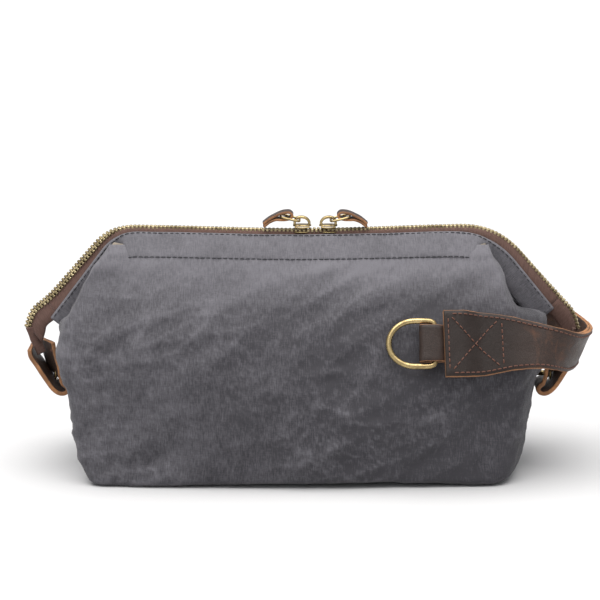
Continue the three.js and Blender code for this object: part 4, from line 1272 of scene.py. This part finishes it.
def tape_grid(face, first, last, gap=2.0):
    """The tape from the cord beside the teeth down behind the hem, between two shares of the line."""
    line, along, across, _ = chain_frames(gap)
    s = np.linspace(0, 1, len(line))
    hem_x = np.abs(line[:, 0])
    tail = step(FOLD_X + 0.5, FOLD_X + 9, hem_x)
    away = across * face
    inner_dir = -np.stack([-along[:, 2], 0 * along[:, 0], along[:, 0]], 1)
    slope = step(0.25, 0.62, np.abs(along[:, 2]))
    inner_dir = unit(inner_dir - 0.6 * Z * step(FOLD_X + 4, FOLD_X + 18, hem_x)[:, None])
    reach = 7.5 + 5.5 * slope + 3.0 * step(FOLD_X - 8, FOLD_X + 3, hem_x) - 3.5 * tail
    start = line + away * (1.6 + parted(line[:, 0]))[:, None]
    bulge = line + away * 3.4 + inner_dir * (1.2 + 1.4 * slope)[:, None]
    mid_y = (4.2 - 1.2 * tail)[:, None] * Y * face
    middle = line * [1, 0, 1] + inner_dir * (reach * 0.55)[:, None] + mid_y
    foot = line * [1, 0, 1] + inner_dir * reach[:, None] + (3.4 - 1.9 * tail)[:, None] * Y * face
    t = np.linspace(0, 1, 11)[:, None, None]
    grid = start * (1 - t) ** 3 + 3 * bulge * t * (1 - t) ** 2 + 3 * middle * t * t * (1 - t) + foot * t**3
    keep = (s >= first) & (s <= last)
    return grid[:, keep]


class BAG_OT_zip(bpy.types.Operator):
    """Make the zip: woven tapes, their cords and every tooth"""

    bl_idname = "bag.zip"
    bl_label = "Zip"

    def execute(self, context):
        pitch = context.scene.bag_sizes.tooth_pitch
        line, along, across, top = chain_frames(pitch / 2)
        split = FOLD_X + 6.0
        x = line[:, 0]
        parts = {"left_tail": x < -split, "top": np.abs(x) <= split, "right_tail": x > split}
        for face in (FRONT, BACK):
            for part, inside in parts.items():
                teeth = []
                own = np.arange(len(line)) % 2 == (face == BACK)
                for i in np.flatnonzero(inside & own):
                    away = across[i] * face
                    at = line[i] + away * parted(x[i])
                    teeth.append(tooth(at, along[i], away, top[i]))
                row = joined(teeth)
                label = f"{NAME_OF[face]}_teeth" if part == "top" else f"{part}_teeth_{NAME_OF[face]}_row"
                node = f"{NAME_OF[face]}_zip_teeth" if part == "top" else f"{part}_teeth_{NAME_OF[face]}"
                piece = make_mesh(label, *row[:2], row[2], [tooth_brass()], row[3], smooth=False)
                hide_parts(node)
                bend_with_mouth(piece)
                self.tape(face, part, split)
        return {"FINISHED"}

    def tape(self, face, part, split):
        line = chain_line(2.0)
        s = np.linspace(0, 1, len(line))
        left, right = s[line[:, 0] < -split][-1], s[line[:, 0] > split][0]
        spans = {"left_tail": (0, left), "top": (left, right), "right_tail": (right, 1)}
        grid = tape_grid(face, *spans[part])
        if face == FRONT:
            grid = grid[:, ::-1]
        tape = cloth(f"{part}_tape_{NAME_OF[face]}_cloth", grid, 0.6, [zip_tape()] * 3)
        node = f"{NAME_OF[face]}_zip_tape" if part == "top" else f"{part}_tape_{NAME_OF[face]}"
        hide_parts(node)
        bend_with_mouth(tape)


# ---------------------------------------------------------------- sliders, rings and tags
SLIDER_LONG, SLIDER_WIDE = 11.5, 8.6


def slider_body(side):
    """A cast slider: two shield-shaped plates with turned edges, a lip along each side under the upper plate
    and an arched crown.
    """
    parts = []
    outline = []
    for t in np.linspace(0, 2 * np.pi, 41)[:-1]:
        c, s = math.cos(t), math.sin(t)
        wide = SLIDER_WIDE / 2 * (1.0 if c < 0 else 1 - 0.32 * c**2)
        outline.append((SLIDER_LONG / 2 * np.sign(c) * abs(c) ** 0.75, wide * np.sign(s) * abs(s) ** 0.6))
    outline = np.array(outline) * [-side, 1]
    for low, high, bend in ((1.5, 2.45, 0.5), (-2.4, -1.6, -0.35)):
        rings = []
        plate = [(0.86, low), (0.97, low + 0.1), (1.0, (low + high) / 2), (0.97, high - 0.1), (0.84, high)]
        plate += [(0.45, high + bend * 0.35), (0.1, high + bend * 0.5)]
        for shrink, z in plate:
            rings.append(np.column_stack([outline * shrink, np.full(len(outline), z)]))
        grid = np.array(rings)
        faces = grid_faces(len(rings), len(outline), False, True)
        faces += [tuple(range(len(outline)))[::-1],
                  tuple(range((len(rings) - 1) * len(outline), len(rings) * len(outline)))]
        parts.append((grid.reshape(-1, 3), faces, np.zeros((grid.size // 3, 2)), [0] * len(faces)))
    for edge in (-1, 1):
        lip = np.array([(-side * x, edge * (SLIDER_WIDE / 2 - 0.35 - 0.07 * max(0, x)), z)
                        for x, z in ((-4.6, 1.3), (-2.5, 0.9), (0, 0.75), (2.5, 0.9), (4.6, 1.3))])
        parts.append(wire(spline(lip, 5), 0.5, Y, sides=8))
    arch = [(-4.4, 1.9), (-4.6, 3.6), (-3.9, 5.6), (-2.2, 6.8), (0.3, 7.0), (2.6, 6.2), (4.1, 4.6)]
    crown = np.array([(-side * x, 0, z) for x, z in [*arch, (4.4, 3.2), (3.7, 2.0)]])
    path = spline(crown, 6)
    along = tangents(path)
    flat = np.broadcast_to(Y, path.shape)
    section, _ = strap_section(3.2, 1.6, 4, 0.5)
    parts.append(swept(path, flat, np.cross(along, flat), section))
    v, f, t = joined(parts)[:3]
    return v, f, t, [0] * len(f)


def pull_ring(lean):
    """A rounded wire loop from the crown to the leather tag."""
    far, wide, corner = 12.0, 5.9, 3.4
    flat = []
    for l0, y0, first in ((far - corner, -wide + corner, -90), (far - corner, wide - corner, 0),
                          (corner * 0.6, wide - corner, 90), (corner * 0.6, -wide + corner, 180)):
        for a in np.radians(np.linspace(first, first + 90, 9)):
            squash = 1 if l0 > 5 else 0.6
            flat.append((l0 + corner * squash * math.cos(a), y0 + corner * math.sin(a)))
    line = np.array([lean * length + Y * wide_at for length, wide_at in flat])
    return wire(line, 0.72, np.cross(lean, Y), closed=True, sides=10)


def pull_tag(bar, out):
    """A narrow leather strip folded round the ring's outer bar, its two ends pressed together."""
    up = unit(np.cross(Y, out))
    up = up * np.sign(up[2])
    route = [(11.5, 0.95), (7.5, 0.95), (3.6, 1.15), (0.8, 1.75), (-2.4, 2.15), (-5.4, 1.8), (-6.8, 0.0)]
    route = [*route, *[(a, -b) for a, b in route[-2::-1]]]
    line = spline([bar + out * a + up * (b - 0.035 * max(0, a - 1) ** 2) for a, b in route], 5)
    along = tangents(line)
    across = np.broadcast_to(Y, line.shape)
    return line, across, unit(np.cross(along, across))


class BAG_OT_sliders(bpy.types.Operator):
    """Make both sliders with their pull rings and leather tags"""

    bl_idname = "bag.sliders"
    bl_label = "Sliders and pulls"

    def execute(self, context):
        for name, side in (("left", -1), ("right", 1)):
            low, high = cad_box(f"{name}_slider")
            centre = np.array([(low[0] + high[0]) / 2, 0, CHAIN_Z - 0.3])
            parts = slider_body(side)
            slider = make_mesh(f"{name}_slider_casting", parts[0] + centre, parts[1], parts[2],
                               [antique_brass()], parts[3])
            self.finish(slider, f"{name}_slider", f"{name}_slider_body", "antique_brass")
            hinge = hinge_of(f"{name}_pull_swing") + [0, 0, 1.1]
            lean = unit([side * math.cos(math.radians(13)), 0, math.sin(math.radians(13))])
            ring = pull_ring(lean)
            brass = [antique_brass()]
            loop = make_mesh(f"{name}_pull_loop", ring[0] + hinge, ring[1], ring[2], brass, ring[3])
            self.finish(loop, f"{name}_pull_ring", f"{name}_pull", "antique_brass")
            out = unit([side * math.cos(math.radians(8)), 0, -math.sin(math.radians(8))])
            line, across, normal = pull_tag(hinge + lean * 11.6, out)
            widths = 9.4 - 0.9 * np.abs(np.linspace(-1, 1, len(line))) ** 3
            tag = strap(f"{name}_leather_tag", line, across, normal, widths, 1.5,
                        [oiled_leather(), cut_leather()], 0.22, 40 + side, 7)
            self.finish(tag, f"{name}_pull_tag", f"{name}_tag", "brown_leather")
        return {"FINISHED"}

    def finish(self, piece, node, body, slot):
        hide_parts(node)
        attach(piece, body)


# ---------------------------------------------------------------- handle
SEWN_WIDE, STRAP_WIDE = 40.5, 25


def handle_frames(count=150):
    """The handle's middle line on the cloth, its directions and its widths."""
    reach = cad_box("handle_strap_outer")[1][0]
    ring = hinge_of("d_ring_swing")
    start, top = ring[0] + 5.0, ring[2] - 4.6
    y = float(DEPTH(top))
    points = [(0, y, 0), (20, y - 1.2, 0), (40, y - 3.2, 0)]
    front = [(start + a, -b, top + c) for a, b, c in points]
    front += [(FOLD_X - 3, -y * 0.92, top - 2), (reach - 20, -y * 0.62, top - 7)]
    front += [(reach - 11.5, 0, top - 9.5)]
    back = [(a, -b, c) for a, b, c in front[-2::-1]]
    line = evenly(spline(front + back, 24), count=count)
    along = tangents(line)
    s = arc(line)
    from_end = np.minimum(s, s[-1] - s)
    widths = SEWN_WIDE + (STRAP_WIDE - SEWN_WIDE) * ease((from_end - 8) / 66)
    free = ease((from_end - 36) / 30)[:, None]
    face = np.sign(line[:, 1:2] + 1e-9)
    turned = free * np.abs(along[:, 1:2])
    lean = np.hstack([0.38 * turned, -0.437 * face * (1 - turned), 0.9 + 0 * turned])
    lean = unit(lean - along * np.sum(lean * along, 1, keepdims=True))
    out = unit(np.cross(along, lean))
    outward = np.sum(out * [1, 0, 0], 1, keepdims=True) * turned + out[:, 1:2] * face * (1 - turned)
    out = out * np.where(outward > 0, 1, -1)
    return line, along, lean, out, widths, from_end, free


def handle_lift(from_end, line, free):
    """How far the handle's inner face stands off its middle line: over the D-ring's loop at the front."""
    over = np.where(line[:, 1] < 0, 3.4 * (1 - ease((from_end - 10) / 14)), 0)
    return 1.9 * (1 - free[:, 0]) + 0.3 + over


class BAG_OT_handle(bpy.types.Operator):
    """Make the two-layer leather handle with its box-and-cross stitching"""

    bl_idname = "bag.handle"
    bl_label = "Handle"

    def execute(self, context):
        sizes = context.scene.bag_sizes
        line, _, lean, out, widths, from_end, free = handle_frames()
        lift = handle_lift(from_end, line, free)[:, None]
        thick = sizes.strap_thick
        materials = [oiled_leather(), cut_leather()]
        for name, base, seed in (("inner", thick / 2, 71), ("outer", thick * 1.5 + 0.12, 83)):
            wide = widths - (0.5 if name == "inner" else 0)
            layer = line + out * (lift + base)
            oiled = 1 - ease((from_end - 30) / 30)
            piece = strap(f"handle_{name}_layer", layer, lean, out, wide, thick, materials,
                          0.22, seed, 14, oiled)
            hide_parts(f"handle_strap_{name}")
            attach(piece, "bag_body")
        surface = line + out * (lift + 2 * thick + 0.14)
        rows = []
        inset = widths / 2 - 2.3
        inner_run = 35.0
        s = arc(line)
        start, end = 2.4, s[-1] - 2.4
        inside = (s >= start) & (s <= end)
        for edge in (-1, 1):
            rows.append(((surface + lean * (inset * edge)[:, None])[inside], out[inside]))
        for origin, sense in ((0.0, 1), (s[-1], -1)):
            for at in (2.6, inner_run):
                place = origin + sense * at
                rows.append(self.cross(surface, lean, out, s, place, place, inset, -1, 1))
            first, last = origin + sense * 3.5, origin + sense * (inner_run - 1)
            for flip in (-1, 1):
                rows.append(self.cross(surface, lean, out, s, first, last, inset, -flip, flip))
        stitched("handle_stitches", rows, "bag_body", brown_thread(), sizes.stitch_step,
                 sizes.stitch_step * 0.78, 0.36, 0.42, needle_hole_shadow_finish())
        return {"FINISHED"}

    def cross(self, surface, lean, out, s, first, last, inset, from_side, to_side):
        """A straight row of stitches over the strap from one place and side to another."""
        t = np.linspace(0, 1, 24)
        at = first + (last - first) * t
        reach = np.interp(at, s, inset) * (from_side + (to_side - from_side) * t)
        pick = [np.stack([np.interp(at, s, a[:, k]) for k in range(3)], 1) for a in (surface, lean, out)]
        return pick[0] + pick[1] * reach[:, None] * 0.97, unit(pick[2])


# ---------------------------------------------------------------- D-ring and its loop
RING_DROP = 2.2  # how much lower the ring hangs than its CAD place, along its hinge line


class BAG_OT_ring(bpy.types.Operator):
    """Make the D-ring and the leather loop that holds it"""

    bl_idname = "bag.ring"
    bl_label = "D-ring and loop"

    def execute(self, context):
        bar = hinge_of("d_ring_swing")
        up = unit(np.array(next(j for j in frame["joints"] if j["name"] == "d_ring_swing")["axis"]))
        face = unit(np.cross(up, X)) * -1
        face = face * np.sign(-face[1])
        bar = bar - up * RING_DROP
        half = 13.85
        arm = 12.0
        flat = []
        for a in np.radians(np.linspace(90, 270, 31)):
            flat.append((-arm + 1.12 * half * math.cos(a), half * math.sin(a)))
        flat += [(-arm + 3, -half), (-6, -half), (-2.8, -half + 0.2), (-0.9, -half + 1.0)]
        flat += [(0.0, -half + 2.6), (0, 0)]
        flat += [(0.0, half - 2.6), (-0.9, half - 1.0), (-2.8, half - 0.2), (-6, half), (-arm + 3, half)]
        flat = np.array(flat)
        line = bar + X * flat[:, :1] + up * flat[:, 1:] + face * (0.6 * step(-30, -4, flat[:, :1]) - 0.4)
        parts = wire(line, 1.75, face, closed=True, sides=16)
        ring = make_mesh("brass_d_ring", *parts[:3], [antique_brass()], parts[3])
        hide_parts("d_ring")
        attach(ring, "front_ring")
        route = [(14, -2.6), (7, -2.6), (1, -2.75), (-4.5, -2.7), (-7.4, -1.9), (-8.6, 0), (-7.4, 2.1)]
        route += [(-4.5, 2.75), (0, 2.75), (3.5, 2.1), (6.5, 0.3), (10, -0.8), (14, -0.9)]
        line = spline([bar + X * a + face * b for a, b in route], 7)
        along = tangents(line)
        across = np.broadcast_to(up, line.shape)
        normal = unit(np.cross(along, across))
        widths = 21.8 + 0.8 * np.cos(np.linspace(-2.4, 2.4, len(line)))
        leather = [oiled_leather(), cut_leather()]
        loop = strap("d_ring_leather_loop", line, across, normal, widths, 1.6, leather, 0.25, 91, 12, 0.4)
        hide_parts("d_ring_loop")
        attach(loop, "bag_body")
        return {"FINISHED"}


# ---------------------------------------------------------------- end tabs and rivets
# The folded strip from its inner end round to its outer end: in from the far side, and up from the foot.
TAB_ROUTE = (
    (14.0, 33.5), (15.4, 26), (17.2, 19), (19.6, 13), (22.6, 8.6), (25.3, 6.8), (26.8, 4.8),
    (25.6, 2.7), (22.3, 2.3), (18.4, 4.7), (14.6, 9.8), (9.6, 18), (4.7, 25), (3.9, 29.5),
)
RIVET_DROP = 9.5  # how much lower the rivet sits than its CAD place
RIVET_IN = 19.2  # from the tab's furthest side in to the rivet's dome


class BAG_OT_tabs(bpy.types.Operator):
    """Make the folded leather tab and its rivet at each end"""

    bl_idname = "bag.tabs"
    bl_label = "End tabs"

    def execute(self, context):
        for name, side in (("left", -1), ("right", 1)):
            low, high = cad_box(f"{name}_end_tab")
            rivet_low, rivet_high = cad_box(f"{name}_tab_rivet")
            rivet_z = (rivet_low[2] + rivet_high[2]) / 2
            bottom = low[2]
            end_x = max(abs(low[0]), abs(high[0]))
            route = [(end_x - back, bottom + up) for back, up in TAB_ROUTE]
            line = evenly(spline([(side * x, 0, z) for x, z in route], 10), count=90)
            along = tangents(line)
            s = arc(line) / arc(line)[-1]
            twist = np.radians(25 * (1 - step(0.2, 0.5, s)))[:, None]
            across = Y * np.cos(twist) + X * side * np.sin(twist)
            across = unit(across - along * np.sum(across * along, 1, keepdims=True))
            normal = unit(np.cross(along, across))
            widths = 23.5 - 2.5 * step(0.75, 1.0, s)
            leather = [oiled_leather(), cut_leather()]
            tab = strap(f"{name}_leather_tab", line, across, normal, widths, 2.6, leather,
                        0.3, 101 + side, 12)
            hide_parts(f"{name}_end_tab")
            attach(tab, "bag_body")
            self.rivet(name, side, rivet_z - RIVET_DROP, end_x - RIVET_IN)
            self.tongue(name, side)
            rows = []
            for edge in (-1, 1):
                part = s < 0.14
                inner_face = normal * np.sign(normal[:, :1] * side)
                rows.append(((line + across * 9.4 * edge + inner_face * 1.32)[part], inner_face[part]))
            stitched(f"{name}_tab_stitches", rows, "bag_body", brown_thread(), 3.3, 2.5,
                     0.36, 0.42, needle_hole_shadow_finish())
        return {"FINISHED"}

    def tongue(self, name, side):
        """The zip's tail end, drawn down between the tab's two ends."""
        out, up = TAIL_STEPS[1]
        x, z = FOLD_X + out, FOLD_Z + 2 + up
        route = [(x - 4.2, z + 1), (x - 4.6, z - 4), (x - 6.2, z - 10), (x - 8.4, z - 16)]
        line = spline([(side * a, 0, b) for a, b in route], 8)
        along = tangents(line)
        turn = math.radians(58 if side < 0 else 15)
        normal = unit(np.cross(along, Y))
        across = Y * math.cos(turn) + normal * math.sin(turn) * -side
        widths = np.interp(np.linspace(0, 1, len(line)), [0, 0.35, 1], [11.5, 8, 6])
        tongue = strap(f"{name}_tail_end", line, across, unit(np.cross(along, across)), widths, 1.5,
                       [zip_tape(), zip_tape()], 0.3, 120 + side, 8)
        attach(tongue, "bag_body")

    def rivet(self, name, side, z, x):
        """A domed brass rivet through the tab and the end wall."""
        outline = [(0.02, 1.55), (1.4, 1.5), (2.9, 1.25), (4.0, 0.85), (4.7, 0.3), (4.8, -0.1), (4.4, -0.25)]
        outline += [(1.7, -0.3), (1.6, -8.2), (4.2, -8.3), (4.4, -8.8), (3.2, -9.3), (0.02, -9.4)]
        count = 28
        rings = []
        for radius, out in outline:
            ring = circle(radius, count)
            rings.append(np.column_stack([np.full(count, side * (x + out)), ring[:, 0], ring[:, 1] + z]))
        grid = np.array(rings)
        faces = grid_faces(len(rings), count, False, True)
        faces += [tuple(range(count))[::-1], tuple(range((len(rings) - 1) * count, len(rings) * count))]
        points = grid.reshape(-1, 3)
        piece = make_mesh(f"{name}_rivet_cap", points, faces, points[:, 1:], [antique_brass()])
        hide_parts(f"{name}_tab_rivet")
        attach(piece, "bag_body")


# ---------------------------------------------------------------- stage
FLOOR_COLOUR = (0.61, 0.61, 0.615)
CAMERA_ELEVATION, CAMERA_DISTANCE, CAMERA_LENS = 12, 1.4, 140
CAMERA_AIM = (-0.0018, -0.0413, 0.1115)


class BAG_OT_stage(bpy.types.Operator):
    """Make the floor, the light and the camera"""

    bl_idname = "bag.stage"
    bl_label = "Studio"

    def execute(self, context):
        scene = context.scene
        scene.view_settings.view_transform = "Standard"
        self.floor()
        world = bpy.data.worlds.new("Studio")
        world.use_nodes = True
        world.node_tree.nodes["Background"].inputs["Color"].default_value = (0.98, 0.985, 1.0, 1.0)
        world.node_tree.nodes["Background"].inputs["Strength"].default_value = 0.6
        scene.world = world
        self.sun("Overhead softbox", (-5, 6), 3.9, 66, (1.0, 0.985, 0.965))
        self.sun("Front fill", (-35, 50), 0.25, 50, (0.97, 0.98, 1.0))
        elevation = math.radians(CAMERA_ELEVATION)
        back = np.array([0, -math.cos(elevation), math.sin(elevation)])
        camera = bpy.data.cameras.new("Camera")
        camera.lens = CAMERA_LENS
        camera.sensor_width = 36
        camera.clip_end = 50
        made = bpy.data.objects.new("Camera", camera)
        made.location = CAMERA_AIM + back * CAMERA_DISTANCE
        made.rotation_euler = (math.pi / 2 - elevation, 0, 0)
        scene.collection.objects.link(made)
        scene.camera = made
        return {"FINISHED"}

    def floor(self):
        def fill(tree, shader):
            place = solid_place(tree)
            shade = tree.ramp(tree.noise(place, 3.0, 2.0), 0.2, 0.8, 0.985, 1.0)
            colour = tree.node("ShaderNodeCombineXYZ", {0: shade, 1: shade, 2: shade}).outputs[0]
            tinted = tree.mix(1.0, colour, FLOOR_COLOUR, "MULTIPLY")
            tree.tree.links.new(tinted, shader.inputs["Base Color"])
            shader.inputs["Roughness"].default_value = 0.75
            shader.inputs["Specular IOR Level"].default_value = 0.1

        half = 30000.0
        corners = [(-half, -half, 0), (half, -half, 0), (half, half, 0), (-half, half, 0)]
        floor = make_mesh("studio_floor", corners, [(0, 1, 2, 3)], materials=[material("Pale floor", fill)])

    def sun(self, name, tilt, strength, angle, colour):
        """A broad even light: tilt is its lean to the right and to the front, in degrees."""
        light = bpy.data.lights.new(name, "SUN")
        light.energy = strength
        light.angle = math.radians(angle)
        light.color = colour
        made = bpy.data.objects.new(name, light)
        made.rotation_euler = (math.radians(tilt[1]), math.radians(tilt[0]), 0)
        bpy.context.scene.collection.objects.link(made)


OPERATORS = (
    BAG_OT_stage, BAG_OT_canvas, BAG_OT_hems, BAG_OT_zip,
    BAG_OT_sliders, BAG_OT_handle, BAG_OT_ring, BAG_OT_tabs,
)


class BAG_PT_panel(bpy.types.Panel):
    """The bag's pieces, one button each"""

    bl_idname = "BAG_PT_panel"
    bl_label = "Wash bag"
    bl_space_type = "VIEW_3D"
    bl_region_type = "UI"
    bl_category = "Wash bag"

    def draw(self, context):
        for operator in OPERATORS:
            self.layout.operator(operator.bl_idname)
        for settings in (context.scene.bag_sizes, context.scene.bag_colours):
            for key in settings.__annotations__:
                self.layout.prop(settings, key)


CLASSES = (BagSizes, BagColours, *OPERATORS, BAG_PT_panel)


def register():
    for item in CLASSES:
        bpy.utils.register_class(item)
    bpy.types.Scene.bag_sizes = PointerProperty(type=BagSizes)
    bpy.types.Scene.bag_colours = PointerProperty(type=BagColours)


def unregister():
    del bpy.types.Scene.bag_colours
    del bpy.types.Scene.bag_sizes
    for item in reversed(CLASSES):
        bpy.utils.unregister_class(item)


def main():
    register()
    for operator in OPERATORS:
        group_name, name = operator.bl_idname.split(".")
        getattr(getattr(bpy.ops, group_name), name)()


if __name__ == "__main__":
    main()
